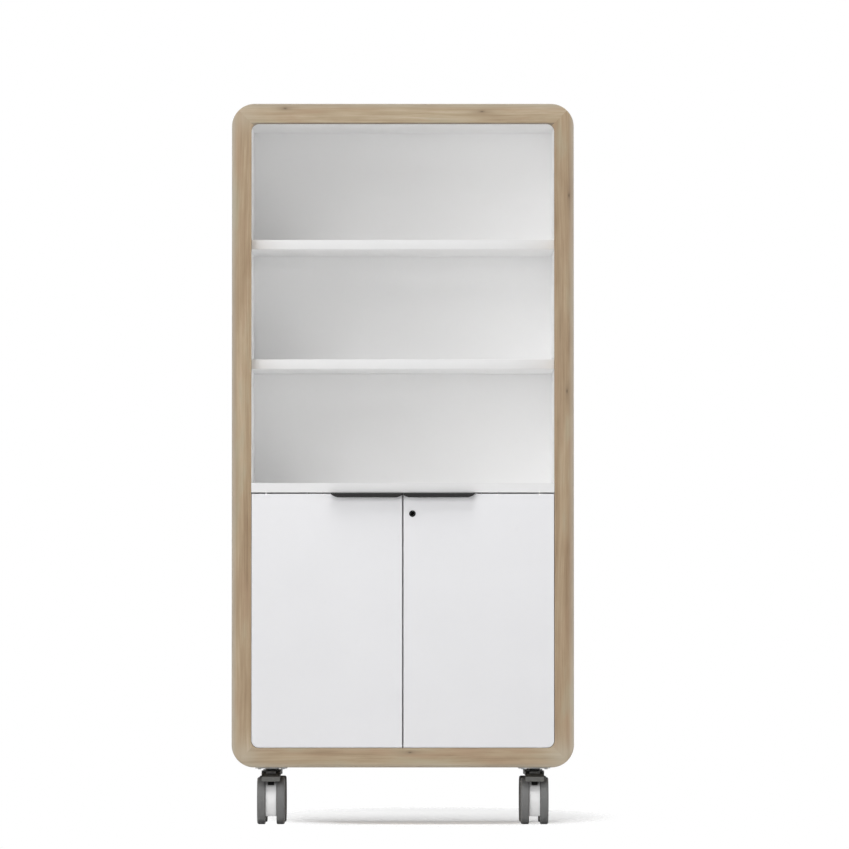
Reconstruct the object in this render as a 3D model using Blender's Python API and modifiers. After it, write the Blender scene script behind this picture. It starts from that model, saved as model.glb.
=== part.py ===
"""Mobile office cabinet: open shelves above, a two-door cupboard below, four twin-wheel casters.

Metres, +Z up. The front faces -Y, the floor is z = 0, and the outer box is centred on x = y = 0.
Run it in Blender 4.5: blender --background --python part.py
"""
import math

import bmesh
import bpy
from mathutils import Matrix, Vector

MM = 0.001

# Clearances
FIT = 0.3 * MM                # between pieces that touch on the real cabinet
CUTTER_REACH = 5.0 * MM       # how far a cutter runs past the face it opens

# Frame: four mitred members that show as a band round the front and wrap the carcass
CABINET_WIDTH = 900 * MM
CABINET_DEPTH = 450 * MM
FRAME_HEIGHT = 1747 * MM
CASTER_HEIGHT = 150 * MM
FRAME_FACE = 51 * MM          # width of the band in the front view
FRAME_LIP = 42 * MM           # depth of the band before the rebate for the carcass
OUTER_RADIUS = 60 * MM
INNER_RADIUS = 20 * MM
FRAME_EDGE = 3 * MM           # rounding of the band's long edges

# Carcass
BOARD = 18 * MM
BACK_THICKNESS = 8 * MM
BACK_RECESS = 12 * MM         # from the frame's rear edge to the back panel

# Shelves, by the height of their undersides above the floor
SHELF_THICKNESS = 25 * MM
UPPER_SHELF_Z = 1515 * MM
MIDDLE_SHELF_Z = 1199.6 * MM
DIVIDER_Z = 873 * MM
LOWER_SHELF_Z = 525 * MM
SHELF_SETBACK = 42 * MM       # open shelves, behind the frame's front face
LOWER_SHELF_SWING_GAP = 5 * MM  # from the doors' hinged edges, as they swing in, to the cupboard's shelf
SHELF_PIN_RADIUS = 2.5 * MM
SHELF_PIN_IN = 8 * MM         # length inside the side panel
SHELF_PIN_OUT = 9 * MM        # length under the shelf
SHELF_PIN_INSET = 40 * MM     # from the shelf's front and rear edges

# Doors
DOOR_THICKNESS = 19 * MM
DOOR_SIDE_GAP = 1.2 * MM
DOOR_BOTTOM_GAP = 1.2 * MM
DOOR_TOP_GAP = 3.6 * MM
DOOR_MIDDLE_GAP = 3.4 * MM

# Pivot hinges in the doors' top and bottom edges
PIVOT_INSET = 38 * MM         # axis from the door's outer edge
PIVOT_DEPTH = 7 * MM          # axis behind the door's front face
PIVOT_RADIUS = 2.5 * MM
PIVOT_ENGAGEMENT = 13 * MM    # length of pin inside the door
PIVOT_PLATE_LENGTH = 36 * MM
PIVOT_PLATE_WIDTH = 10 * MM
PIVOT_PLATE_THICKNESS = 1.7 * MM
BUSH_WALL = 2 * MM
BUSH_FLANGE_RADIUS = 6.5 * MM

# Edge pulls
HANDLE_LENGTH = 189 * MM
HANDLE_REACH = 18 * MM        # in front of the door
HANDLE_DROP = 12.2 * MM       # height of the front lip
HANDLE_SHEET = 2.4 * MM
HANDLE_BEND = 4 * MM          # outer radius of the bend at the lip
HANDLE_BACK_LEG = 20 * MM
HANDLE_OUTER_SLANT = 18 * MM  # how much shorter the lip's lower edge is at the outer end
HANDLE_INNER_SLANT = 14 * MM  # and at the end by the other door
HANDLE_INNER_RISE = 5.2 * MM  # height of that inner slant
HANDLE_OVERHANG = 0.6 * MM    # past the door's free edge

# Cam lock in the right door
LOCK_INSET = 23.5 * MM          # axis from the door's free edge
LOCK_DROP = 52.1 * MM         # axis below the door's top edge
LOCK_FLANGE_RADIUS = 8.4 * MM
LOCK_FLANGE_THICKNESS = 1.5 * MM
LOCK_BARREL_RADIUS = 7.5 * MM
LOCK_PLUG_RADIUS = 5.2 * MM
LOCK_BARREL_PROUD = 3 * MM    # barrel behind the door
LOCK_TAIL_RADIUS = 3 * MM
KEYWAY_WIDTH = 1.2 * MM
KEYWAY_LENGTH = 6.5 * MM
KEYWAY_DEPTH = 4 * MM
CAM_THICKNESS = 2.5 * MM
CAM_HALF_WIDTH = 7 * MM
CAM_ENGAGEMENT = 9 * MM       # reach of the turned cam into the divider
CAM_SLOT_CLEARANCE = 1.5 * MM

# Magnetic catches behind the tops of the doors
CATCH_HANDLE_GAP = 21 * MM    # from the handle's end to the catch plate
CATCH_LENGTH = 42 * MM
CATCH_DEPTH = 13 * MM
CATCH_HEIGHT = 14 * MM
CATCH_PLATE_LENGTH = 36 * MM
CATCH_PLATE_HEIGHT = 16 * MM
CATCH_PLATE_THICKNESS = 1.6 * MM
CATCH_PLATE_DROP = 2 * MM     # below the door's top edge

# Casters
CASTER_INSET_X = 103 * MM     # swivel axis from the frame's side
CASTER_INSET_Y = 91 * MM      # swivel axis from the frame's front or rear
CASTER_TRAIL = 28 * MM        # axle from the swivel axis
WHEEL_RADIUS = 62 * MM
WHEEL_WIDTH = 21.8 * MM
WHEEL_SPACING = 29.2 * MM     # between the two wheels' inner faces
WHEEL_EDGE = 4 * MM
WHEEL_RIM = 11 * MM           # from the tread to the dish in the outer face
WHEEL_DISH = 5.6 * MM
HUB_RADIUS = 14 * MM
HUB_RECESS = 3.6 * MM         # hub's end below the wheel's outer face
AXLE_RADIUS = 4 * MM
AXLE_HEAD_RADIUS = 7.5 * MM
AXLE_HEAD_LENGTH = 2 * MM
CASTER_PLATE_SIDE = 84 * MM
CASTER_PLATE_THICKNESS = 3 * MM
CASTER_PLATE_CORNER = 8 * MM
KINGPIN_RADIUS = 7 * MM
KINGPIN_LENGTH = 14 * MM
HEAD_RADIUS = 26 * MM         # the head's crown over the wheels
HEAD_HEIGHT = 18 * MM
HEAD_RING_RADIUS = 16 * MM    # the ring on the crown, under the plate
HEAD_RING_HEIGHT = 5 * MM
BODY_RADIUS = 53 * MM         # grey body about the axle
BODY_GROUND_GAP = 21.5 * MM   # flat underside above the floor
BODY_SEAT = 103 * MM          # floor of the body's slot, where the head's neck stands
BODY_SIDE_GAP = 0.4 * MM      # to each wheel
BODY_EDGE = 1 * MM
NECK_HALF_LENGTH = 30 * MM
NECK_WIDTH = 16 * MM          # between the body's two cheeks
PEDAL_WIDTH = 48.7 * MM
PEDAL_PIVOT_FORWARD = 34 * MM  # pivot in front of the swivel axis
PEDAL_PIVOT_DROP = 16 * MM     # pivot below the frame
PEDAL_HUB_RADIUS = 5.5 * MM
PEDAL_PIN_RADIUS = 2.5 * MM
PEDAL_LENGTH = 52 * MM         # from the pivot to the front of the lip
PEDAL_LIP_DEPTH = 4.5 * MM
PEDAL_LIP_TOP = 9 * MM         # the lip's top and bottom below the pivot
PEDAL_LIP_BOTTOM = 21 * MM
PEDAL_SHOULDER = 6 * MM        # length and drop of the slope above the lip
TONGUE_HALF_WIDTH = 13.5 * MM

# Mesh detail
CORNER_STEPS = 8
SMALL_STEPS = 6
ROUNDING_STEPS = 1
ROD_SIDES = 16
WHEEL_SIDES = 32

# Places worked out from the sizes above
FRONT = (HANDLE_REACH - CABINET_DEPTH) / 2
REAR = FRONT + CABINET_DEPTH
FRAME_BOTTOM = CASTER_HEIGHT
FRAME_TOP = CASTER_HEIGHT + FRAME_HEIGHT
OPEN_X = CABINET_WIDTH / 2 - FRAME_FACE
OPEN_BOTTOM = FRAME_BOTTOM + FRAME_FACE
OPEN_TOP = FRAME_TOP - FRAME_FACE
CARCASS_FRONT = FRONT + FRAME_LIP + FIT
CARCASS_REAR = REAR - BACK_RECESS - BACK_THICKNESS - FIT
DIVIDER_TOP = DIVIDER_Z + SHELF_THICKNESS
DOOR_BACK = FRONT + DOOR_THICKNESS
DOOR_BOTTOM = OPEN_BOTTOM + DOOR_BOTTOM_GAP
DOOR_TOP = DIVIDER_Z - DOOR_TOP_GAP
DOOR_OUTER = OPEN_X - DOOR_SIDE_GAP
DOOR_FREE = DOOR_MIDDLE_GAP / 2
PIVOT_X = DOOR_OUTER - PIVOT_INSET
PIVOT_Y = FRONT + PIVOT_DEPTH
HINGED_EDGE_SWING = math.hypot(PIVOT_INSET, DOOR_THICKNESS - PIVOT_DEPTH)
LOWER_SHELF_SETBACK = PIVOT_DEPTH + HINGED_EDGE_SWING + LOWER_SHELF_SWING_GAP
BUSH_FLANGE = DOOR_BOTTOM_GAP - 2 * FIT  # the washer that the door stands on
LOCK_X = DOOR_FREE + LOCK_INSET
LOCK_Z = DOOR_TOP - LOCK_DROP
CATCH_X = DOOR_FREE - HANDLE_OVERHANG + HANDLE_LENGTH + CATCH_HANDLE_GAP + CATCH_PLATE_LENGTH / 2
CAM_FRONT = DOOR_BACK + LOCK_BARREL_PROUD + FIT
CAM_LENGTH = LOCK_DROP + DOOR_TOP_GAP + CAM_ENGAGEMENT
CASTER_X = CABINET_WIDTH / 2 - CASTER_INSET_X
CASTER_PLATE_TOP = FRAME_BOTTOM - FIT
HEAD_TOP = CASTER_PLATE_TOP - CASTER_PLATE_THICKNESS - FIT
HEAD_BOTTOM = HEAD_TOP - HEAD_HEIGHT
BODY_HALF_WIDTH = WHEEL_SPACING / 2 - BODY_SIDE_GAP
PEDAL_PIVOT_Z = CASTER_HEIGHT - PEDAL_PIVOT_DROP

# A flat outline is drawn in x and y. These turn it to face the front (outline y is up)
# or to stand along a caster (outline x is forward, y is up).
FACING_FRONT = Matrix.Rotation(math.radians(90), 4, "X")
ALONG_CASTER = Matrix(((0, 0, -1, 0), (-1, 0, 0, 0), (0, 1, 0, 0), (0, 0, 0, 1)))


def clear_scene():
    """Remove every object that the file opened with."""
    for item in list(bpy.data.objects):
        bpy.data.objects.remove(item, do_unlink=True)


def new_collection(name):
    """A collection linked to the scene."""
    collection = bpy.data.collections.new(name)
    bpy.context.scene.collection.children.link(collection)
    return collection


def linear(value):
    """One sRGB channel, 0 to 255, as a linear value."""
    share = value / 255
    if share <= 0.04045:
        return share / 12.92
    return ((share + 0.055) / 1.055) ** 2.4


def new_material(name, red, green, blue, roughness, metallic=0.0):
    """A Principled material with an sRGB colour."""
    material = bpy.data.materials.new(name)
    material.use_nodes = True
    shader = material.node_tree.nodes["Principled BSDF"]
    shader.inputs["Base Color"].default_value = (linear(red), linear(green), linear(blue), 1)
    shader.inputs["Roughness"].default_value = roughness
    shader.inputs["Metallic"].default_value = metallic
    return material


clear_scene()
PARTS = new_collection("mobile_cabinet")
CUTTERS = new_collection("cutters")

OAK = new_material("oak_laminate", 176, 158, 132, 0.55)
WHITE = new_material("white_laminate", 233, 233, 234, 0.45)
DARK_METAL = new_material("dark_painted_metal", 62, 62, 63, 0.45)
BLACK_METAL = new_material("black_metal", 28, 28, 29, 0.4, 0.3)
STEEL = new_material("zinc_plated_steel", 186, 188, 190, 0.3, 1.0)
BLACK_PLASTIC = new_material("black_plastic", 44, 44, 45, 0.5)
GREY_PLASTIC = new_material("light_grey_plastic", 222, 222, 222, 0.5)
WHEEL_RUBBER = new_material("grey_rubber", 96, 96, 97, 0.7)
NYLON = new_material("white_nylon", 226, 224, 216, 0.4)


def add_part(name, mesh, material, location=(0, 0, 0), parent=None):
    """Put a mesh in the scene as one named part."""
    part = bpy.data.objects.new(name, mesh)
    PARTS.objects.link(part)
    part.location = location
    part.parent = parent
    if material:
        mesh.materials.append(material)
    return part


def add_empty(name, location, turn=0.0, parent=None):
    """An empty that stands on a joint's axis."""
    empty = bpy.data.objects.new(name, None)
    PARTS.objects.link(empty)
    empty.location = location
    empty.rotation_euler = (0, 0, turn)
    empty.parent = parent
    return empty


def combine(part, tool, operation):
    """Cut, join or trim a part with a helper shape, which is then hidden."""
    PARTS.objects.unlink(tool)
    CUTTERS.objects.link(tool)
    tool.hide_render = True
    tool.display_type = "WIRE"
    modifier = part.modifiers.new(tool.name, "BOOLEAN")
    modifier.operation = operation
    modifier.solver = "EXACT"
    modifier.object = tool


def board(name, low, high, material=None, parent=None):
    """A box between two opposite corners, in its parent's coordinates."""
    low = Vector(low)
    high = Vector(high)
    mesh = bpy.data.meshes.new(name)
    shape = bmesh.new()
    bmesh.ops.create_cube(shape, size=1)
    bmesh.ops.scale(shape, vec=high - low, verts=shape.verts)
    shape.to_mesh(mesh)
    shape.free()
    return add_part(name, mesh, material, (low + high) / 2, parent)


def rod(name, radius, length, axis, centre, material=None, parent=None):
    """A round rod along X, Y or Z."""
    turns = {"X": Matrix.Rotation(math.radians(90), 4, "Y"),
             "Y": Matrix.Rotation(math.radians(90), 4, "X"),
             "Z": Matrix.Identity(4)}
    mesh = bpy.data.meshes.new(name)
    shape = bmesh.new()
    bmesh.ops.create_cone(shape, cap_ends=True, segments=ROD_SIDES,
                          radius1=radius, radius2=radius, depth=length, matrix=turns[axis])
    for face in shape.faces:
        face.smooth = len(face.verts) == 4
    shape.to_mesh(mesh)
    shape.free()
    return add_part(name, mesh, material, centre, parent)


def turned(name, profile, sides, rotation, location, material, parent=None):
    """A shape turned about its local Z axis from a profile of (radius, height) points.

    The profile runs from the top down the outside; one that leaves the axis clear is closed.
    """
    closed = profile[0][0] > 0
    count = len(profile)
    edges = [(i, (i + 1) % count) for i in range(count if closed else count - 1)]
    mesh = bpy.data.meshes.new(name)
    mesh.from_pydata([(radius, 0, height) for radius, height in profile], edges, [])
    part = add_part(name, mesh, material, location, parent)
    part.rotation_euler = rotation
    screw = part.modifiers.new("turning", "SCREW")
    screw.steps = sides
    screw.render_steps = sides
    screw.use_merge_vertices = True
    screw.merge_threshold = 0.00001
    return part


def arc(centre, radius, start, end, steps):
    """Points along an arc, with its angles in degrees."""
    points = []
    for step in range(steps + 1):
        angle = math.radians(start + (end - start) * step / steps)
        points.append((centre[0] + radius * math.cos(angle), centre[1] + radius * math.sin(angle)))
    return points


def rounded_rectangle(left, bottom, right, top, radii, steps):
    """An outline with its own radius at each corner, from bottom left, anticlockwise."""
    corners = ((left, bottom, 1, 1, 180), (right, bottom, -1, 1, 270),
               (right, top, -1, -1, 0), (left, top, 1, -1, 90))
    points = []
    for (x, y, inward_x, inward_y, start), radius in zip(corners, radii):
        if radius:
            centre = (x + inward_x * radius, y + inward_y * radius)
            points += arc(centre, radius, start, start + 90, steps)
        else:
            points.append((x, y))
    return points


def plate(name, outlines, thickness, turn, location, material=None, parent=None, rounding=0.0):
    """A flat piece cut to one or more closed outlines, drawn as a filled 2D curve.

    Rounded edges keep inside the outline and the thickness.
    """
    curve = bpy.data.curves.new(name, "CURVE")
    curve.dimensions = "2D"
    curve.fill_mode = "BOTH"
    curve.extrude = thickness / 2 - rounding
    curve.offset = -rounding
    curve.bevel_depth = rounding
    curve.bevel_resolution = ROUNDING_STEPS
    for outline in outlines:
        spline = curve.splines.new("POLY")
        spline.points.add(len(outline) - 1)
        for point, (x, y) in zip(spline.points, outline):
            point.co = (x, y, 0, 1)
        spline.use_cyclic_u = True
    drawing = bpy.data.objects.new(name + "_drawing", curve)
    PARTS.objects.link(drawing)
    evaluated = drawing.evaluated_get(bpy.context.evaluated_depsgraph_get())
    mesh = bpy.data.meshes.new_from_object(evaluated)
    bpy.data.objects.remove(drawing)
    shape = bmesh.new()
    shape.from_mesh(mesh)
    bmesh.ops.remove_doubles(shape, verts=shape.verts, dist=0.000001)
    bmesh.ops.recalc_face_normals(shape, faces=shape.faces)
    shape.transform(turn)
    shape.to_mesh(mesh)
    shape.free()
    mesh.name = name
    return add_part(name, mesh, material, location, parent)


def mitre_outline(side):
    """The part of the front view that one frame member takes, split at 45 degrees."""
    margin = 50 * MM
    reach = 2 * FRAME_FACE
    half = FIT / 2 * math.sqrt(2)
    left = -CABINET_WIDTH / 2
    if side == "left":
        return [(left - margin, FRAME_BOTTOM - margin + half),
                (left + reach, FRAME_BOTTOM + reach + half),
                (left + reach, FRAME_TOP - reach - half),
                (left - margin, FRAME_TOP + margin - half)]
    if side == "bottom":
        return [(left - margin + half, FRAME_BOTTOM - margin),
                (-left + margin - half, FRAME_BOTTOM - margin),
                (-left - reach - half, FRAME_BOTTOM + reach),
                (left + reach + half, FRAME_BOTTOM + reach)]
    if side == "right":
        return [(-x, z) for x, z in mitre_outline("left")]
    middle = FRAME_BOTTOM + FRAME_TOP
    return [(x, middle - z) for x, z in mitre_outline("bottom")]


def make_frame():
    """Four oak members with mitred corners and a rebate behind the front band."""
    half_width = CABINET_WIDTH / 2
    outer = rounded_rectangle(-half_width, FRAME_BOTTOM, half_width, FRAME_TOP,
                              [OUTER_RADIUS] * 4, CORNER_STEPS)
    inner = rounded_rectangle(-OPEN_X, OPEN_BOTTOM, OPEN_X, OPEN_TOP,
                              [INNER_RADIUS] * 4, SMALL_STEPS)
    middle = (0, FRONT + CABINET_DEPTH / 2, 0)
    members = {}
    for side in ("top", "bottom", "left", "right"):
        member = plate("frame_" + side, [outer, inner], CABINET_DEPTH, FACING_FRONT, middle, OAK,
                       rounding=FRAME_EDGE)
        rebate = board("rebate_" + side,
                       (-OPEN_X - BOARD, FRONT + FRAME_LIP, OPEN_BOTTOM - BOARD),
                       (OPEN_X + BOARD, REAR + CUTTER_REACH, OPEN_TOP + BOARD))
        combine(member, rebate, "DIFFERENCE")
        wedge = plate("mitre_" + side, [mitre_outline(side)], CABINET_DEPTH + 2 * CUTTER_REACH,
                      FACING_FRONT, middle)
        combine(member, wedge, "INTERSECT")
        members[side] = member
    return members


def make_carcass():
    """White boards that line the frame, and the back panel."""
    rebate_x = OPEN_X + BOARD - FIT
    rebate_bottom = OPEN_BOTTOM - BOARD + FIT
    rebate_top = OPEN_TOP + BOARD - FIT
    panels = {}
    for side, sign in (("left", -1), ("right", 1)):
        edges = sorted((sign * OPEN_X, sign * rebate_x))
        panels[side] = board("side_panel_" + side,
                             (edges[0], CARCASS_FRONT, rebate_bottom),
                             (edges[1], CARCASS_REAR, rebate_top), WHITE)
    board("top_panel", (-OPEN_X + FIT, CARCASS_FRONT, OPEN_TOP),
          (OPEN_X - FIT, CARCASS_REAR, rebate_top), WHITE)
    board("bottom_panel", (-OPEN_X + FIT, CARCASS_FRONT, rebate_bottom),
          (OPEN_X - FIT, CARCASS_REAR, OPEN_BOTTOM), WHITE)
    back_front = CARCASS_REAR + FIT
    board("back_panel", (-rebate_x, back_front, rebate_bottom),
          (rebate_x, back_front + BACK_THICKNESS, rebate_top), WHITE)
    return panels


def make_shelf(name, underside, setback):
    """One shelf board between the side panels."""
    return board(name, (-OPEN_X + FIT, FRONT + setback, underside),
                 (OPEN_X - FIT, CARCASS_REAR - FIT, underside + SHELF_THICKNESS), WHITE)


def make_shelf_pins(panels):
    """Steel pins in the side panels that carry the cupboard's loose shelf."""
    rear = CARCASS_REAR - FIT
    places = {"front": FRONT + LOWER_SHELF_SETBACK + SHELF_PIN_INSET,
              "rear": rear - SHELF_PIN_INSET}
    height = LOWER_SHELF_Z - FIT - SHELF_PIN_RADIUS
    length = SHELF_PIN_IN + SHELF_PIN_OUT
    for side, sign in (("left", -1), ("right", 1)):
        for place, y in places.items():
            label = place + "_" + side
            middle = sign * (OPEN_X + (SHELF_PIN_IN - SHELF_PIN_OUT) / 2)
            rod("shelf_pin_" + label, SHELF_PIN_RADIUS, length, "X", (middle, y, height), STEEL)
            hole_length = 2 * (SHELF_PIN_IN + FIT)
            hole = rod("shelf_pin_hole_" + label, SHELF_PIN_RADIUS + FIT, hole_length, "X",
                       (sign * OPEN_X, y, height))
            combine(panels[side], hole, "DIFFERENCE")


def make_pivot(label, sign, carrier, seat, upward):
    """A pivot pin on a plate let into the frame or the divider.

    The seat is the height of the carrier's face; the pin points up or down from it.
    """
    x = sign * PIVOT_X
    way = 1 if upward else -1
    gap = DOOR_BOTTOM_GAP if upward else DOOR_TOP_GAP
    half_length = PIVOT_PLATE_LENGTH / 2
    half_width = PIVOT_PLATE_WIDTH / 2
    outline = rounded_rectangle(-half_length, -half_width, half_length, half_width,
                                [half_width] * 4, SMALL_STEPS)
    plate_z = seat - way * PIVOT_PLATE_THICKNESS / 2
    pivot = plate("hinge_pin_" + label, [outline], PIVOT_PLATE_THICKNESS, Matrix.Identity(4),
                  (x, PIVOT_Y, plate_z), STEEL)
    pin_length = gap + PIVOT_ENGAGEMENT + PIVOT_PLATE_THICKNESS / 2
    pin = rod("pivot_" + label, PIVOT_RADIUS, pin_length, "Z",
              (x, PIVOT_Y, plate_z + way * pin_length / 2))
    combine(pivot, pin, "UNION")
    pocket_outline = rounded_rectangle(-half_length - FIT, -half_width - FIT, half_length + FIT,
                                       half_width + FIT, [half_width + FIT] * 4, SMALL_STEPS)
    pocket_depth = PIVOT_PLATE_THICKNESS + FIT
    pocket = plate("pivot_pocket_" + label, [pocket_outline], pocket_depth + CUTTER_REACH,
                   Matrix.Identity(4),
                   (x, PIVOT_Y, seat + way * (CUTTER_REACH - pocket_depth) / 2))
    combine(carrier, pocket, "DIFFERENCE")


def make_door(side, sign, hinge):
    """One door leaf, drawn about its hinge axis, with its pivot bores."""
    corner = INNER_RADIUS - DOOR_SIDE_GAP
    outline = rounded_rectangle(DOOR_FREE, DOOR_BOTTOM, DOOR_OUTER, DOOR_TOP,
                                [0, corner, 0, 0], CORNER_STEPS)
    if sign < 0:
        outline = [(-x, z) for x, z in reversed(outline)]
    outline = [(x - sign * PIVOT_X, z) for x, z in outline]
    middle_y = DOOR_THICKNESS / 2 - PIVOT_DEPTH
    door = plate("door_" + side, [outline], DOOR_THICKNESS, FACING_FRONT,
                 (0, middle_y, 0), WHITE, hinge)
    bore_radius = PIVOT_RADIUS + FIT
    top_depth = PIVOT_ENGAGEMENT + FIT
    top = rod("pivot_bore_top_" + side, bore_radius, 2 * top_depth, "Z", (0, 0, DOOR_TOP),
              parent=hinge)
    combine(door, top, "DIFFERENCE")
    bush_radius = bore_radius + BUSH_WALL
    bush_length = PIVOT_ENGAGEMENT + FIT
    bottom = rod("bush_bore_" + side, bush_radius + FIT, 2 * (bush_length + FIT), "Z",
                 (0, 0, DOOR_BOTTOM), parent=hinge)
    combine(door, bottom, "DIFFERENCE")
    flange_top = DOOR_BOTTOM - FIT
    profile = [(bush_radius, DOOR_BOTTOM + bush_length), (bush_radius, flange_top),
               (BUSH_FLANGE_RADIUS, flange_top), (BUSH_FLANGE_RADIUS, flange_top - BUSH_FLANGE),
               (bore_radius, flange_top - BUSH_FLANGE), (bore_radius, DOOR_BOTTOM + bush_length)]
    turned("hinge_bush_" + side, profile, ROD_SIDES, (0, 0, 0), (0, 0, 0), NYLON, hinge)
    return door


def make_handle(side, sign, hinge):
    """A bent sheet pull: back leg, plate over the door's edge, and a lip in front with slanted ends."""
    top = DOOR_TOP + FIT + HANDLE_SHEET
    back = DOOR_THICKNESS + FIT + HANDLE_SHEET
    front = -HANDLE_REACH
    inner_bend = HANDLE_BEND - HANDLE_SHEET
    bend_centre = (-front - HANDLE_BEND, top - HANDLE_BEND)
    section = [(-back, top), (-back, top - HANDLE_BACK_LEG),
               (-back + HANDLE_SHEET, top - HANDLE_BACK_LEG),
               (-back + HANDLE_SHEET, top - HANDLE_SHEET)]
    section += arc(bend_centre, inner_bend, 90, 0, SMALL_STEPS)
    section += [(-front - HANDLE_SHEET, top - HANDLE_DROP), (-front, top - HANDLE_DROP)]
    section += arc(bend_centre, HANDLE_BEND, 0, 90, SMALL_STEPS)
    start = DOOR_FREE - HANDLE_OVERHANG
    middle = sign * (start + HANDLE_LENGTH / 2 - PIVOT_X)
    handle = plate("handle_" + side, [section], HANDLE_LENGTH, ALONG_CASTER,
                   (middle, -PIVOT_DEPTH, 0), DARK_METAL, hinge)
    half = HANDLE_LENGTH / 2
    lip_bottom = top - HANDLE_DROP
    bottom = lip_bottom - CUTTER_REACH
    ends = (("outer", sign, HANDLE_OUTER_SLANT, HANDLE_DROP - HANDLE_SHEET),
            ("inner", -sign, HANDLE_INNER_SLANT, HANDLE_INNER_RISE))
    for label, end, slant, rise in ends:
        foot = half - slant - slant / rise * CUTTER_REACH
        corner = [(end * half, lip_bottom + rise), (end * foot, bottom),
                  (end * (half + CUTTER_REACH), bottom),
                  (end * (half + CUTTER_REACH), lip_bottom + rise)]
        tool = plate(f"handle_end_{side}_{label}", [corner], HANDLE_REACH, FACING_FRONT,
                     (middle, -PIVOT_DEPTH - HANDLE_REACH, 0), parent=hinge)
        combine(handle, tool, "DIFFERENCE")
    return handle


def make_lock(door, hinge):
    """A cam lock: fixed barrel, turning plug with a keyway, and the cam on its tail."""
    place = Vector((LOCK_X - PIVOT_X, -PIVOT_DEPTH, LOCK_Z))
    bore = rod("lock_bore", LOCK_BARREL_RADIUS + FIT, 3 * DOOR_THICKNESS, "Y", place, parent=hinge)
    combine(door, bore, "DIFFERENCE")
    facing = (math.radians(90), 0, 0)
    barrel_end = -DOOR_THICKNESS - LOCK_BARREL_PROUD
    plug_bore = LOCK_PLUG_RADIUS + FIT
    barrel = [(plug_bore, LOCK_FLANGE_THICKNESS + FIT), (LOCK_FLANGE_RADIUS, LOCK_FLANGE_THICKNESS + FIT),
              (LOCK_FLANGE_RADIUS, FIT), (LOCK_BARREL_RADIUS, FIT),
              (LOCK_BARREL_RADIUS, barrel_end), (plug_bore, barrel_end)]
    turned("lock_housing", barrel, ROD_SIDES, facing, place, BLACK_METAL, hinge)

    axis = add_empty("lock_axis", place, parent=hinge)
    plug_front = LOCK_FLANGE_THICKNESS
    tail_end = barrel_end - FIT - CAM_THICKNESS
    plug_profile = [(0, plug_front), (LOCK_PLUG_RADIUS, plug_front), (LOCK_PLUG_RADIUS, barrel_end),
                    (LOCK_TAIL_RADIUS, barrel_end), (LOCK_TAIL_RADIUS, tail_end), (0, tail_end)]
    plug = turned("lock_plug", plug_profile, ROD_SIDES, facing, (0, 0, 0), BLACK_METAL, axis)
    keyway = board("keyway", (-KEYWAY_WIDTH / 2, -plug_front - CUTTER_REACH, -KEYWAY_LENGTH / 2),
                   (KEYWAY_WIDTH / 2, -plug_front + KEYWAY_DEPTH, KEYWAY_LENGTH / 2), parent=axis)
    combine(plug, keyway, "DIFFERENCE")

    round_end = CAM_LENGTH - CAM_HALF_WIDTH
    outline = arc((0, 0), CAM_HALF_WIDTH, 90, 270, SMALL_STEPS * 2)
    outline += arc((round_end, 0), CAM_HALF_WIDTH, -90, 90, SMALL_STEPS * 2)
    hole = arc((0, 0), LOCK_TAIL_RADIUS + FIT, 0, 360, ROD_SIDES)[:-1]
    cam_middle = CAM_FRONT + CAM_THICKNESS / 2 - FRONT
    plate("lock_cam", [outline, hole], CAM_THICKNESS, FACING_FRONT, (0, cam_middle, 0), STEEL, axis)


def cut_cam_slot(divider):
    """A slot in the divider's underside that the cam turns up into."""
    rise = LOCK_DROP + DOOR_TOP_GAP
    sweep = math.sqrt(CAM_LENGTH ** 2 - rise ** 2) + CAM_HALF_WIDTH
    slot = board("cam_slot",
                 (LOCK_X - CAM_HALF_WIDTH - CAM_SLOT_CLEARANCE, CAM_FRONT - CAM_SLOT_CLEARANCE,
                  DIVIDER_Z - CUTTER_REACH),
                 (LOCK_X + sweep + CAM_SLOT_CLEARANCE, CAM_FRONT + CAM_THICKNESS + CAM_SLOT_CLEARANCE,
                  DIVIDER_Z + CAM_ENGAGEMENT + CAM_SLOT_CLEARANCE))
    combine(divider, slot, "DIFFERENCE")


def make_catch(side, sign, hinge):
    """A magnet under the divider and its steel plate on the back of the door."""
    middle = sign * (CATCH_X - PIVOT_X)
    plate_back = DOOR_THICKNESS + FIT + CATCH_PLATE_THICKNESS
    plate_top = DOOR_TOP - CATCH_PLATE_DROP
    board("catch_plate_" + side,
          (middle - CATCH_PLATE_LENGTH / 2, DOOR_THICKNESS + FIT - PIVOT_DEPTH,
           plate_top - CATCH_PLATE_HEIGHT),
          (middle + CATCH_PLATE_LENGTH / 2, plate_back - PIVOT_DEPTH, plate_top), STEEL, hinge)
    magnet_front = FRONT + plate_back + FIT
    board("magnet_catch_" + side,
          (sign * CATCH_X - CATCH_LENGTH / 2, magnet_front, DIVIDER_Z - FIT - CATCH_HEIGHT),
          (sign * CATCH_X + CATCH_LENGTH / 2, magnet_front + CATCH_DEPTH, DIVIDER_Z - FIT),
          BLACK_PLASTIC)


def make_caster_plate(label, centre):
    """The fixed top plate with its kingpin."""
    half = CASTER_PLATE_SIDE / 2
    outline = rounded_rectangle(-half, -half, half, half, [CASTER_PLATE_CORNER] * 4, SMALL_STEPS)
    middle = CASTER_PLATE_TOP - CASTER_PLATE_THICKNESS / 2
    top = plate(label + "_plate", [outline], CASTER_PLATE_THICKNESS, Matrix.Identity(4),
                (centre[0], centre[1], middle), STEEL)
    length = KINGPIN_LENGTH + CASTER_PLATE_THICKNESS / 2
    pin = rod(label + "_kingpin", KINGPIN_RADIUS, length, "Z",
              (centre[0], centre[1], middle - length / 2))
    combine(top, pin, "UNION")


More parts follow.
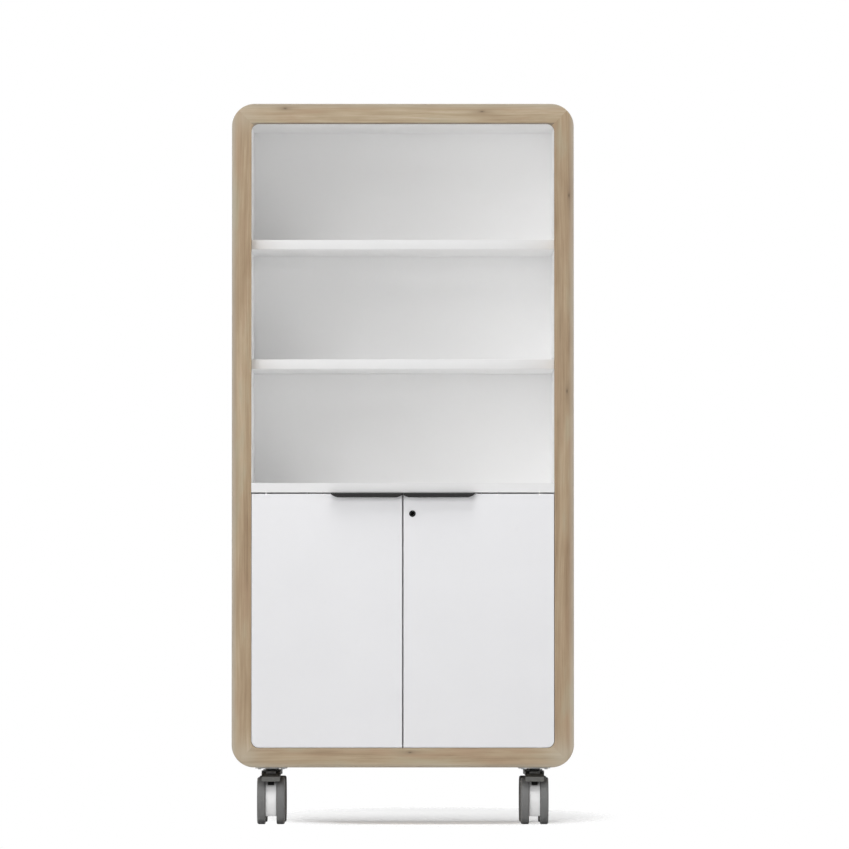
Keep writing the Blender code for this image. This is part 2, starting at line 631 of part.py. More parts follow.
def make_caster_head(label, swivel, braked):
    """The turning head: a round crown over the wheels with a ring on it, and a neck down between them."""
    crown_height = HEAD_HEIGHT - HEAD_RING_HEIGHT
    crown_middle = HEAD_BOTTOM + crown_height / 2
    head = rod(label + "_head", HEAD_RADIUS, crown_height, "Z", (0, 0, crown_middle), BLACK_PLASTIC, swivel)
    ring_length = HEAD_TOP - crown_middle
    ring = rod(label + "_ring", HEAD_RING_RADIUS, ring_length, "Z", (0, 0, crown_middle + ring_length / 2),
               parent=swivel)
    combine(head, ring, "UNION")
    neck_bottom = BODY_SEAT + FIT
    neck_top = (HEAD_TOP + HEAD_BOTTOM) / 2
    rear = CASTER_TRAIL - NECK_HALF_LENGTH
    front = CASTER_TRAIL + NECK_HALF_LENGTH
    outline = [(rear, neck_bottom), (front, neck_bottom), (HEAD_RING_RADIUS, neck_top),
               (-HEAD_RING_RADIUS, neck_top)]
    neck = plate(label + "_neck", [outline], NECK_WIDTH, ALONG_CASTER, (0, 0, 0), parent=swivel)
    combine(head, neck, "UNION")
    if braked:
        tongue_bottom = PEDAL_PIVOT_Z - PEDAL_HUB_RADIUS
        tongue_end = PEDAL_PIVOT_FORWARD + PEDAL_HUB_RADIUS
        tongue = board(label + "_tongue", (-TONGUE_HALF_WIDTH, -tongue_end, tongue_bottom),
                       (TONGUE_HALF_WIDTH, 0, PEDAL_PIVOT_Z + PEDAL_HUB_RADIUS), parent=swivel)
        combine(head, tongue, "UNION")
        hole = rod(label + "_pedal_bore", PEDAL_PIN_RADIUS + FIT, 2 * PEDAL_WIDTH, "X",
                   (0, -PEDAL_PIVOT_FORWARD, PEDAL_PIVOT_Z), parent=swivel)
        combine(head, hole, "DIFFERENCE")
    socket_bottom = CASTER_PLATE_TOP - CASTER_PLATE_THICKNESS - KINGPIN_LENGTH - FIT
    socket_length = HEAD_TOP + CUTTER_REACH - socket_bottom
    socket = rod(label + "_socket", KINGPIN_RADIUS + FIT, socket_length, "Z",
                 (0, 0, socket_bottom + socket_length / 2), parent=swivel)
    combine(head, socket, "DIFFERENCE")


def make_caster_body(label, swivel):
    """The grey body between the wheels: round about the axle, flat below, two cheeks beside the neck."""
    low = math.degrees(math.asin((BODY_GROUND_GAP - WHEEL_RADIUS) / BODY_RADIUS))
    outline = arc((0, 0), BODY_RADIUS, low, 180 - low, 3 * CORNER_STEPS)
    axle_place = (0, -CASTER_TRAIL, WHEEL_RADIUS)
    body = plate(label + "_body", [outline], 2 * BODY_HALF_WIDTH, ALONG_CASTER, axle_place,
                 GREY_PLASTIC, swivel, rounding=BODY_EDGE)
    bore = rod(label + "_axle_bore", AXLE_RADIUS + FIT, 2 * WHEEL_SPACING, "X", axle_place,
               parent=swivel)
    combine(body, bore, "DIFFERENCE")
    slot_half = NECK_WIDTH / 2 + FIT
    slot_reach = BODY_RADIUS + CUTTER_REACH
    slot = board(label + "_neck_slot", (-slot_half, -CASTER_TRAIL - slot_reach, BODY_SEAT),
                 (slot_half, -CASTER_TRAIL + slot_reach, WHEEL_RADIUS + slot_reach), parent=swivel)
    combine(body, slot, "DIFFERENCE")


def make_axle_and_wheels(label, swivel, facing):
    """The axle, and a wheel each side of the body with its dish outwards."""
    axle_place = (0, -CASTER_TRAIL, WHEEL_RADIUS)
    hub_end = WHEEL_SPACING / 2 + WHEEL_WIDTH - HUB_RECESS
    shoulder = hub_end + FIT
    end = shoulder + AXLE_HEAD_LENGTH
    shaft = [(0, end), (AXLE_HEAD_RADIUS, end), (AXLE_HEAD_RADIUS, shoulder), (AXLE_RADIUS, shoulder),
             (AXLE_RADIUS, -shoulder), (AXLE_HEAD_RADIUS, -shoulder), (AXLE_HEAD_RADIUS, -end), (0, -end)]
    turned(label + "_axle", shaft, ROD_SIDES, (0, math.radians(90), 0), axle_place, STEEL, swivel)

    dish_radius = WHEEL_RADIUS - WHEEL_RIM
    dish_floor = WHEEL_WIDTH - WHEEL_DISH
    hub_top = WHEEL_WIDTH - HUB_RECESS
    bore = AXLE_RADIUS + FIT
    profile = [(dish_radius, WHEEL_WIDTH), (WHEEL_RADIUS - WHEEL_EDGE, WHEEL_WIDTH),
               (WHEEL_RADIUS, WHEEL_WIDTH - WHEEL_EDGE), (WHEEL_RADIUS, WHEEL_EDGE),
               (WHEEL_RADIUS - WHEEL_EDGE, 0), (bore, 0), (bore, hub_top), (HUB_RADIUS, hub_top),
               (HUB_RADIUS + WHEEL_DISH, dish_floor), (dish_radius - WHEEL_DISH, dish_floor)]
    for side, sign in (("left", -1), ("right", 1)):
        outward = sign * facing
        inner_face = (outward * WHEEL_SPACING / 2, -CASTER_TRAIL, WHEEL_RADIUS)
        turned(label + "_wheel_" + side, profile, WHEEL_SIDES, (0, outward * math.radians(90), 0),
               inner_face, WHEEL_RUBBER, swivel)


def make_pedal(label, swivel):
    """A foot pedal that straddles the head's tongue and turns on its own pin."""
    pivot = (0, -PEDAL_PIVOT_FORWARD, PEDAL_PIVOT_Z)
    lip_back = PEDAL_LENGTH - PEDAL_LIP_DEPTH
    outline = arc((0, 0), PEDAL_HUB_RADIUS, 90, 270, SMALL_STEPS)
    outline += [(lip_back - PEDAL_SHOULDER, -PEDAL_LIP_TOP - PEDAL_LIP_DEPTH),
                (lip_back, -PEDAL_LIP_BOTTOM), (PEDAL_LENGTH, -PEDAL_LIP_BOTTOM),
                (PEDAL_LENGTH, -PEDAL_LIP_TOP), (PEDAL_LENGTH - PEDAL_SHOULDER, -PEDAL_SHOULDER)]
    pedal = plate(label + "_pedal", [outline], PEDAL_WIDTH, ALONG_CASTER, pivot, BLACK_PLASTIC, swivel)
    slot_half = TONGUE_HALF_WIDTH + 2 * FIT
    slot_front = PEDAL_PIVOT_FORWARD + PEDAL_HUB_RADIUS + 6 * FIT
    slot = board(label + "_pedal_slot",
                 (-slot_half, -slot_front, PEDAL_PIVOT_Z - PEDAL_LIP_BOTTOM),
                 (slot_half, 0, PEDAL_PIVOT_Z + PEDAL_LIP_BOTTOM), parent=swivel)
    combine(pedal, slot, "DIFFERENCE")
    pin = rod(label + "_pedal_pin", PEDAL_PIN_RADIUS, PEDAL_WIDTH - 4 * MM, "X", pivot, parent=swivel)
    combine(pedal, pin, "UNION")


def make_casters():
    """Twin-wheel casters near the four corners; the front pair has brake pedals."""
    rows = (("front", FRONT + CASTER_INSET_Y, 1), ("rear", REAR - CASTER_INSET_Y, -1))
    for row, y, facing in rows:
        for side, sign in (("left", -1), ("right", 1)):
            label = f"caster_{row}_{side}"
            centre = (sign * CASTER_X, y, 0)
            make_caster_plate(label, centre)
            swivel = add_empty(label + "_swivel", centre, 0 if facing > 0 else math.pi)
            braked = row == "front"
            make_caster_head(label, swivel, braked)
            make_caster_body(label, swivel)
            make_axle_and_wheels(label, swivel, facing)
            if braked:
                make_pedal(label, swivel)


def make_cabinet():
    """Build every part in place."""
    frame = make_frame()
    panels = make_carcass()
    make_shelf("upper_shelf", UPPER_SHELF_Z, SHELF_SETBACK)
    make_shelf("middle_shelf", MIDDLE_SHELF_Z, SHELF_SETBACK)
    make_shelf("lower_shelf", LOWER_SHELF_Z, LOWER_SHELF_SETBACK)
    divider = make_shelf("divider_shelf", DIVIDER_Z, 0)
    make_shelf_pins(panels)
    cut_cam_slot(divider)
    for side, sign in (("left", -1), ("right", 1)):
        hinge = add_empty("hinge_axis_" + side, (sign * PIVOT_X, PIVOT_Y, 0))
        make_pivot(side + "_top", sign, divider, DIVIDER_Z, upward=False)
        make_pivot(side + "_bottom", sign, frame["bottom"], OPEN_BOTTOM, upward=True)
        door = make_door(side, sign, hinge)
        make_handle(side, sign, hinge)
        make_catch(side, sign, hinge)
        if side == "right":
            make_lock(door, hinge)
    make_casters()


make_cabinet()
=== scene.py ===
"""Looks for the mobile cabinet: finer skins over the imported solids, finishes, studio light and a camera.

Metres, +Z up, the front towards -Y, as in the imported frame.
"""

import math

import bmesh
import bpy
import numpy as np
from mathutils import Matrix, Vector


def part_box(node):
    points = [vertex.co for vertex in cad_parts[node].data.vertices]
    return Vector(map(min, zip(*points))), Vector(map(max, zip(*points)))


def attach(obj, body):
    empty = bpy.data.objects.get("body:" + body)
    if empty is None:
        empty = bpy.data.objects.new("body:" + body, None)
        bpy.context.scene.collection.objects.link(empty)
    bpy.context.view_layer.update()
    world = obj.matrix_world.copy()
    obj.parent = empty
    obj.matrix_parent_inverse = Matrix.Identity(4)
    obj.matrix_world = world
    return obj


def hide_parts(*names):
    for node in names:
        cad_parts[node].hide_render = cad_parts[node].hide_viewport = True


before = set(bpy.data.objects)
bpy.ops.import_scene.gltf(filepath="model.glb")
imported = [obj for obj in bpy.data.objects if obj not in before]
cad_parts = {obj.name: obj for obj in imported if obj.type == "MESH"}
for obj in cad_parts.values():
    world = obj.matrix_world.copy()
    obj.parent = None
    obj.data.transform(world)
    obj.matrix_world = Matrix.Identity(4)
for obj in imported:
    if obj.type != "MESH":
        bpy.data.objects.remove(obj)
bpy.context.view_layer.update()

MM = 0.001
SIDES = ("left", "right")
ROWS = ("front", "rear")


def lowest(node):
    """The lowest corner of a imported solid."""
    return np.array(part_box(node)[0])


def highest(node):
    """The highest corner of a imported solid."""
    return np.array(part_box(node)[1])


def centre(node):
    """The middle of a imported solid's box."""
    return (lowest(node) + highest(node)) / 2


# Sizes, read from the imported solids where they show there
FRONT = lowest("frame_left")[1]
REAR = highest("frame_left")[1]
OUTER_LOW = np.array([lowest("frame_left")[0], lowest("frame_bottom")[2]])
OUTER_HIGH = np.array([highest("frame_right")[0], highest("frame_top")[2]])
OPEN_X = lowest("side_panel_right")[0]
BOARD = highest("side_panel_right")[0] - OPEN_X
FRAME_FACE = OUTER_HIGH[0] - OPEN_X
FRAME_LIP = lowest("side_panel_right")[1] - FRONT

# All pieces
CREASE = math.radians(32)     # faces that meet at a wider angle keep a sharp edge
EDGE_STEPS = 3                # steps round a board's edge
ROUND_STEPS = 5               # steps round a larger edge
BOARD_CORNER_STEPS = 6
TURNED_STEPS = 72             # steps round a turned shape
FIT = 0.3 * MM                # between pieces that touch on the real cabinet
TINY = 1e-9                   # keeps a division from running to infinity

# Frame
OUTER_RADIUS = 60 * MM
INNER_RADIUS = 20 * MM
FRAME_EDGE = 3 * MM
FRAME_INNER_EDGE = 1.5 * MM
FRAME_CORNER_STEPS = 24
REBATE_CORNER = 0.5 * MM
MITRE_GAP = 0.08 * MM
FACE_PROUD = 0.05 * MM        # the frame's inner face above the let-in hinge plates

# Boards, doors and pulls
BOARD_EDGE = 0.8 * MM
LEAST_RADIUS = 0.05 * MM      # the least that an edge's rounding leaves of a corner's radius
DOOR_CORNER = INNER_RADIUS - (OPEN_X - highest("door_right")[0])
DOOR_CORNER_STEPS = 12
HANDLE_SHEET = 2.4 * MM
HANDLE_BEND = 4 * MM
HANDLE_HEEL = 2 * MM
HANDLE_DROP = 12.2 * MM
HANDLE_OUTER_SLANT = 18 * MM
HANDLE_INNER_SLANT = 14 * MM
HANDLE_INNER_RISE = 5.2 * MM
HANDLE_LIP_STEPS = 8
HANDLE_BEND_STEPS = 6
HANDLE_EDGE = 0.3 * MM

# Lock
ROSE_EDGE = 0.9 * MM
ROSE_GAP = 0.1 * MM           # between the rose and the door
BORE_DEPTH = 3 * MM
BORE_EDGE = 0.2 * MM
BARREL_INSET = 1 * MM         # the barrel's wall inside the rose's rim
PLUG_RADIUS = 5.2 * MM
PLUG_STEPS = 96
PLUG_EDGE = 0.3 * MM
PLUG_TAIL_RADIUS = 3 * MM
PLUG_TAIL_LENGTH = 6 * MM
KEYWAY_WIDTH = 1.2 * MM
KEYWAY_LENGTH = 6.5 * MM
KEYWAY_DEPTH = 1.2 * MM       # less than the rose stands proud of the door

# Casters
AXLE_HOLE = 6 * MM
AXLE_RADIUS = 4 * MM
AXLE_HEAD_LENGTH = 2 * MM
AXLE_DOME_HEIGHT = 1.2 * MM
AXLE_DOME_WIDTH = 3 * MM
AXLE_END_RADIUS = 1 * MM
AXLE_STEPS = 48
WHEEL_STEPS = 112
TREAD_INNER_ROUND = 4 * MM
TREAD_OUTER_ROUND = 6 * MM
WHEEL_RIM = 11 * MM           # from the tread to the dish in the outer face
WHEEL_DISH = 5.6 * MM
DISH_SLOPE = 5 * MM
HUB_FOOT = 18 * MM
HUB_RADIUS = 14.4 * MM
HUB_RECESS = 3.6 * MM         # hub's end below the wheel's outer face
BODY_EDGE = 1 * MM
BODY_STEPS = 240
NECK_HALF = 8 * MM
NECK_HALF_LENGTH = 30 * MM
SLOT_HALF = NECK_HALF + FIT
KINGPIN_HOLE = 7.5 * MM
CROWN_HOLE = 6 * MM           # in the crown's underside, over the neck
HEAD_RADIUS = 26 * MM
HEAD_HEIGHT = 18 * MM
HEAD_RING_RADIUS = 16 * MM
HEAD_RING_HEIGHT = 5 * MM
RING_EDGE = 1 * MM
CROWN_TOP_EDGE = 2 * MM
CROWN_LOW_EDGE = 3 * MM
TONGUE_HALF = 13.5 * MM
TONGUE_EDGE = 0.8 * MM
PEDAL_HUB = 5.5 * MM
PEDAL_HUB_POINTS = 9
PEDAL_LENGTH = 52 * MM
PEDAL_LIP_DEPTH = 4.5 * MM
PEDAL_LIP_TOP = 9 * MM
PEDAL_LIP_BOTTOM = 21 * MM
PEDAL_SHOULDER = 6 * MM
PEDAL_CORNER = 3.5 * MM
PEDAL_PAINTED_LIGHT_DEPTH = 0.8 * MM         # depth of the lip's front face that is painted paler: painted light
PEDAL_SLOT_HALF = TONGUE_HALF + 2 * FIT
PEDAL_SLOT_END = 7.3 * MM     # in front of the pedal's pivot
PLASTIC_EDGE = 0.6 * MM

# Fasteners, a screw by its head's radius and height
PLATE_SCREW = (4.5 * MM, 2.2 * MM)
PANEL_SCREW = (3.6 * MM, 2 * MM)
SCREW_INSET = 11 * MM         # from a plate's or panel's edges
SCREW_WALL = 0.4              # straight part of a head, as a share of its height
SCREW_CROWN = 0.55            # a head's flat top, its socket and the socket's floor, as shares of the radius
SCREW_SOCKET = 0.42
SCREW_SOCKET_FLOOR = 0.3
SCREW_SOCKET_HEIGHT = 0.5     # the socket's floor above the head's foot, as a share of the height
SCREW_DOME_STEPS = 4
SCREW_STEPS = 20
SIDE_SCREWS = 7               # of the back panel, on each upright side
END_SCREWS = 5                # and along its top and bottom, corners counted
CASTER_PLATE_THICKNESS = 3 * MM

# Colours and marks of the finishes, colours in sRGB from 0 to 255
OAK_TONES = ((142, 120, 94), (166, 146, 119), (179, 161, 134), (198, 183, 158))
OAK_STOPS = (0.34, 0.44, 0.53, 0.64)
OAK_BLUSH = (173, 145, 118)
OAK_CLOUD = (166, 158, 133)
OAK_PORE = (126, 106, 82)
# painted shade under the top rail
OAK_PAINTED_SHADE = (84, 70, 54)
# painted sheen at a few outer corners of the frame
OAK_PAINTED_SHEEN = (196, 187, 168)
KNOT_STREAK = (126, 104, 80)
KNOT_HEART = (84, 66, 50)
# width and depth of the painted sheen on the frame's outer front edges
PAINTED_SHEEN_EDGE = 16 * MM
PAINTED_SHEEN_CORNERS = ((-0.42, 0.18, 0.5), (0.42, 0.18, 0.6), (-0.42, 1.865, 0.35))  # painted sheen at these outer corners: x, z and share
RAIL_KNOTS = ((-0.310, 1.8846), (0.2085, 1.8766), (0.019, 0.1895))
STILE_KNOTS = ((0.4322, 1.1397), (0.4374, 1.6555))
EDGE_BAND = (238, 238, 238)
# painted light on the pedal lip's front face
PLASTIC_PAINTED_LIGHT = (90, 90, 87)
DUST = (196, 193, 186)

# Studio
FLOOR_HALF = 30.0
FLOOR_COLOUR = (246, 246, 246)
FLOOR_GLOW = (0.32, 0.32, 0.32, 1.0)
FLOOR_MIDDLE = (0.09, 1.0)
FLOOR_REACH = (0.62, 1.9)
FLOOR_FADE = (0.3, 0.7)       # squared shares of the reach between which the floor fades
SKY = 0.1
LAMP_AIM = 0.95
LAMPS = {  # azimuth and elevation in degrees, distance, width, height and watts
    "key": (-22, 26, 16, 6.4, 6.4, 510),
    "front": (0, 4, 14, 8, 2.5, 90),
    "left": (-45, 5, 14, 9, 2.5, 215),
    "far_left": (-57, 5, 14, 6, 2.5, 160),
    "far_right": (72, 5, 14, 6, 2.5, 370),
    "rear_left": (-145, 0, 14, 9, 1.4, 270),
    "rear_right": (145, 0, 14, 9, 1.4, 270),
    "top": (0, 75, 12, 6.9, 6.9, 815),
}
SENSOR_WIDTH = 36.0
CAMERA_DISTANCE = 22.0
CAMERA_HEIGHT = 0.42
CAMERA_REACH = 200.0
FRAMED_WIDTH = 2.233
AIM_X = 0.057
AIM_Z = 1.0518


# Shapes: loops of points, skinned into closed shells

def quarter(steps):
    """Cosine and sine of angles from 0 to 90 degrees."""
    angles = np.linspace(0, math.pi / 2, steps + 1)
    return np.cos(angles), np.sin(angles)


def skin(loops, folded=False):
    """Vertices and faces of a shell through closed loops, an array of loop by point by xyz.

    Each end is closed by one flat face, or, where the loop is the two sides of a folded sheet, by
    a strip of faces between the sides.
    """
    count, width, _ = loops.shape
    index = np.arange(count * width).reshape(count, width)
    ahead = np.roll(index, -1, axis=1)
    faces = np.stack([index[:-1], ahead[:-1], ahead[1:], index[1:]], axis=-1).reshape(-1, 4).tolist()
    for end in (index[0][::-1], index[-1]):
        if folded:
            outer, inner = end[:width // 2], end[::-1][:width // 2]
            faces += np.stack([outer[:-1], outer[1:], inner[1:], inner[:-1]], axis=-1).tolist()
        else:
            faces.append(end.tolist())
    return loops.reshape(-1, 3), faces


def ring(low, high, insets, radii, steps):
    """Rounded rectangles in a plane, one row each: the rectangle drawn in by the row's inset.

    At each corner a point is the corner's centre plus the row's radius times the cosine and sine of
    an angle that runs through a quarter turn. Radii are one per row, or one per row and corner, from
    the top right corner anticlockwise.
    """
    middle = (low + high) / 2
    half = (high - low) / 2
    inset = np.asarray(insets, float).reshape(-1, 1, 1)
    radius = np.asarray(radii, float).reshape(len(inset), -1, 1)
    angles = np.arange(4)[:, None] * math.pi / 2 + np.linspace(0, math.pi / 2, steps + 1)
    across = np.array([1, -1, -1, 1])[:, None]
    up = np.array([1, 1, -1, -1])[:, None]
    x = middle[0] + across * (half[0] - inset - radius) + radius * np.cos(angles)
    y = middle[1] + up * (half[1] - inset - radius) + radius * np.sin(angles)
    return x.reshape(len(inset), -1), y.reshape(len(inset), -1)


def slab(low, high, axis, edge, corners=(BOARD_EDGE,) * 4, steps=BOARD_CORNER_STEPS):
    """A board: a rounded rectangle carried through its thickness along one axis.

    Near both faces an angle runs through a quarter turn: the outline draws in by the edge radius
    times one minus its cosine, and the height nears the face by one minus its sine.
    """
    cosine, sine = quarter(EDGE_STEPS)
    rise = edge * (1 - sine)
    draw = edge * (1 - cosine)
    heights = np.concatenate([low[axis] + rise[::-1], high[axis] - rise])
    insets = np.concatenate([draw[::-1], draw])
    first, second = [other for other in range(3) if other != axis]
    radii = np.maximum(np.asarray(corners)[None, :] - insets[:, None], LEAST_RADIUS)
    x, y = ring(np.asarray(low)[[first, second]], np.asarray(high)[[first, second]], insets, radii, steps)
    loops = np.empty(x.shape + (3,))
    loops[..., first] = x
    loops[..., second] = y
    loops[..., axis] = heights[:, None]
    return skin(loops)


def lathe(profile, middle, axis, way=1, steps=TURNED_STEPS):
    """A turned shape: circles of each profile point's radius, at its distance along the axis."""
    radius, along = np.asarray(profile, float).T
    angles = np.linspace(0, 2 * math.pi, steps, endpoint=False)
    first, second = [other for other in range(3) if other != axis]
    loops = np.empty((len(radius), steps, 3))
    loops[..., first] = middle[first] + radius[:, None] * np.cos(angles)
    loops[..., second] = middle[second] + radius[:, None] * np.sin(angles)
    loops[..., axis] = middle[axis] + way * along[:, None]
    return skin(loops)


def fillet(start, corner, end, steps=ROUND_STEPS):
    """A rounded corner: the quadratic curve from start to end that leans on the corner point."""
    share = np.linspace(0, 1, steps + 1)[:, None]
    start, corner, end = np.array(start), np.array(corner), np.array(end)
    return (1 - share) ** 2 * start + 2 * share * (1 - share) * corner + share ** 2 * end


def carried(outlines, places):
    """Outlines in y and z, one for each place along x, skinned in that order."""
    outlines = np.asarray(outlines, float)
    loops = np.empty(outlines.shape[:2] + (3,))
    loops[..., 0] = np.asarray(places, float)[:, None]
    loops[..., 1:] = outlines
    return skin(loops)


def together(*shells):
    """Several shells as the vertices and faces of one mesh."""
    points, faces, start = [], [], 0
    for shell_points, shell_faces in shells:
        points.append(shell_points)
        faces += [[start + corner for corner in face] for face in shell_faces]
        start += len(shell_points)
    return np.concatenate(points), faces


def add_piece(name, shell, finish, body, replaced=(), bevel=0.0):
    """Make a piece from a shell, with its faces outwards, that rides on a body in place of solids."""
    points, faces = shell
    mesh = bpy.data.meshes.new(name)
    mesh.from_pydata(points, [], faces)
    shape = bmesh.new()
    shape.from_mesh(mesh)
    bmesh.ops.recalc_face_normals(shape, faces=shape.faces)
    shape.to_mesh(mesh)
    shape.free()
    mesh.polygons.foreach_set("use_smooth", np.ones(len(mesh.polygons), bool))
    mesh.set_sharp_from_angle(angle=CREASE)
    mesh.materials.append(finish)
    piece = bpy.data.objects.new(name, mesh)
    bpy.context.scene.collection.objects.link(piece)
    if bevel:
        rounding = piece.modifiers.new("soft_edges", "BEVEL")
        rounding.width = bevel
        rounding.segments = EDGE_STEPS
        rounding.limit_method = "ANGLE"
        rounding.angle_limit = CREASE
        rounding.harden_normals = True
    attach(piece, body)
    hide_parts(*replaced)
    return piece


# Finishes: procedural materials

class Field:
    """One socket of a node, a value that changes over the surface. Arithmetic on it adds Math nodes."""

    def __init__(self, graph, socket):
        self.graph = graph
        self.socket = socket

    def math(self, operation, first, second):
        """A Math node of two values."""
        return self.graph.node("ShaderNodeMath", {"operation": operation}, {0: first, 1: second})

    def __add__(self, other):
        return self.math("ADD", self, other)

    def __radd__(self, other):
        return self.math("ADD", other, self)

    def __sub__(self, other):
        return self.math("SUBTRACT", self, other)

    def __rsub__(self, other):
        return self.math("SUBTRACT", other, self)

    def __mul__(self, other):
        return self.math("MULTIPLY", self, other)

    def __rmul__(self, other):
        return self.math("MULTIPLY", other, self)

    def __rtruediv__(self, other):
        return self.math("DIVIDE", other, self)


def srgb(*channels):
    """An sRGB colour, 0 to 255, as linear red, green, blue and alpha."""
    share = np.array(channels) / 255
    value = np.where(share <= 0.04045, share / 12.92, ((share + 0.055) / 1.055) ** 2.4)
    return (*value.tolist(), 1.0)


class Graph:
    """A tree of shader nodes in the making."""

    def __init__(self, tree):
        self.tree = tree

    def node(self, kind, settings=None, sockets=None, output=0):
        """Add a node: its settings first, then the values or links of its sockets."""
        made = self.tree.nodes.new(kind)
        for key, value in (settings or {}).items():
            if key == "stops":
                self.set_stops(made.color_ramp, value)
            else:
                setattr(made, key, value)
        for key, value in (sockets or {}).items():
            self.feed(made.inputs[key], value)
        return Field(self, made.outputs[output])

    def set_stops(self, ramp, stops):
        """Give a colour ramp its stops, each a position and a colour."""
        while len(ramp.elements) < len(stops):
            ramp.elements.new(1.0)
        for element, (position, colour) in zip(ramp.elements, stops):
            element.position = position
            element.color = colour

    def feed(self, socket, value):
        """Set a socket's value, or link a field to it."""
        if isinstance(value, Field):
            self.tree.links.new(value.socket, socket)
        else:
            socket.default_value = value


class Finish(Graph):
    """A material in the making: a Principled shader and the nodes that feed it."""

    def __init__(self, name, **constants):
        self.material = bpy.data.materials.new(name)
        self.material.use_nodes = True
        super().__init__(self.material.node_tree)
        self.shader = self.tree.nodes["Principled BSDF"]
        for socket, value in constants.items():
            self.shader.inputs[socket.replace("_", " ")].default_value = value

    def surface(self):
        """The Principled shader's own output."""
        return Field(self, self.shader.outputs[0])

    def place(self):
        """The surface's x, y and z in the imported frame."""
        where = self.node("ShaderNodeTexCoord", output="Object")
        return [self.node("ShaderNodeSeparateXYZ", sockets={0: where}, output=axis) for axis in range(3)]

    def noise(self, x, y, z, detail=3.0, roughness=0.55):
        """Smooth noise from 0 to 1 at coordinates that are already scaled."""
        where = self.node("ShaderNodeCombineXYZ", sockets={0: x, 1: y, 2: z})
        return self.node("ShaderNodeTexNoise", {"noise_dimensions": "3D"},
                         {"Vector": where, "Scale": 1.0, "Detail": detail, "Roughness": roughness})

    def even_noise(self, scale, detail=3.0):
        """Smooth noise of one scale in all directions."""
        x, y, z = self.place()
        return self.noise(x * scale, y * scale, z * scale, detail)

    def band(self, value, low, high):
        """0 below low, 1 above high, smooth between."""
        return self.node("ShaderNodeMapRange", {"interpolation_type": "SMOOTHSTEP"},
                         {"Value": value, "From Min": low, "From Max": high})

    def mix(self, share, first, second):
        """A colour between two colours. The node's colour sockets are inputs 6 and 7 and output 2."""
        return self.node("ShaderNodeMix", {"data_type": "RGBA"}, {0: share, 6: first, 7: second}, 2)

    def ramp(self, value, stops):
        """A colour that follows a value through stops."""
        return self.node("ShaderNodeValToRGB", {"stops": stops}, {0: value})

    def spot(self, run, side):
        """1 at a point, falling off as one over the square of one plus the squared distances."""
        spread = 1.0 + run * run + side * side
        return 1.0 / (spread * spread)

    def finish(self, colour, roughness, height, depth):
        """Link the colour, roughness and bump height to the shader."""
        self.feed(self.shader.inputs["Base Color"], colour)
        self.feed(self.shader.inputs["Roughness"], roughness)
        bump = self.node("ShaderNodeBump", sockets={"Strength": 1.0, "Distance": depth, "Height": height})
        self.feed(self.shader.inputs["Normal"], bump)
        return self.material


def oak_finish(name, upright, seed, knots, shift, wear_and_sheen):
    """Light oak decor: long grain lines over broad bands, cloudy tone, fine pores and a few small knots.

    The grain runs along z on upright members and along x on the others. A knot is a dark spot with a
    softer streak along the grain, at a place (x, z). The shift moves the red, green and blue of the
    grain's tones. Near the front, the outer edges go over into a paler colour as painted sheen.
    """
    mix = Finish(name)
    x, y, z = mix.place()
    along, across = (z, x) if upright else (x, z)
    wander = mix.noise(along * 1.4 + seed, across * 6.0, y * 6.0, 2.0) - 0.5
    line = across + wander * 0.030
    broad = mix.noise(along * 1.9 + seed, line * 70.0, y * 70.0)
    fine = mix.noise(along * 7.0 + seed, line * 330.0, y * 330.0, 4.0, 0.6)
    pores = mix.noise(along * 38.0 + seed, line * 1500.0, y * 1500.0, 2.0)
    cloud = mix.noise(along * 5.0 + seed, across * 26.0, y * 26.0, 4.0)
    blush = mix.noise(along * 6.0 - seed, across * 40.0, y * 40.0, 3.0)
    height = z - (OUTER_LOW[1] + OUTER_HIGH[1]) / 2
    drift = x * -0.05 if upright else height * 0.04
    tone = 0.36 * broad + 0.28 * fine + 0.36 * cloud + drift
    tones = [srgb(*shade) for shade in np.array(OAK_TONES) + shift]
    colour = mix.ramp(tone, list(zip(OAK_STOPS, tones)))
    colour = mix.mix(mix.band(blush, 0.48, 0.72) * 0.55, colour, srgb(*OAK_BLUSH))
    colour = mix.mix(mix.band(cloud, 0.52, 0.70) * 0.50, colour, srgb(*OAK_CLOUD))
    colour = mix.mix(mix.band(pores, 0.60, 0.74) * 0.30, colour, srgb(*OAK_PORE))
    colour = oak_edges(mix, colour, upright, y, x if upright else height, wear_and_sheen)
    # Painted sheen: paler spots at a few of the frame's rounded outer corners.
    for pale_x, pale_z, share in PAINTED_SHEEN_CORNERS:
        pale = mix.spot((x - pale_x) * 20.0, (z - pale_z) * 20.0)
        colour = mix.mix(pale * share, colour, srgb(*OAK_PAINTED_SHEEN))
    for knot_x, knot_z in knots:
        knot_along, knot_across = (knot_z, knot_x) if upright else (knot_x, knot_z)
        run = along - knot_along
        side = across - knot_across
        colour = mix.mix(mix.spot(run * 26.0, side * 130.0) * 0.42, colour, srgb(*KNOT_STREAK))
        colour = mix.mix(mix.spot(run * 150.0, side * 330.0) * 0.75, colour, srgb(*KNOT_HEART))
    return mix.finish(colour, 0.46 + 0.16 * fine + 0.06 * pores, fine * 0.6 + pores * 0.4, 0.25 * MM)


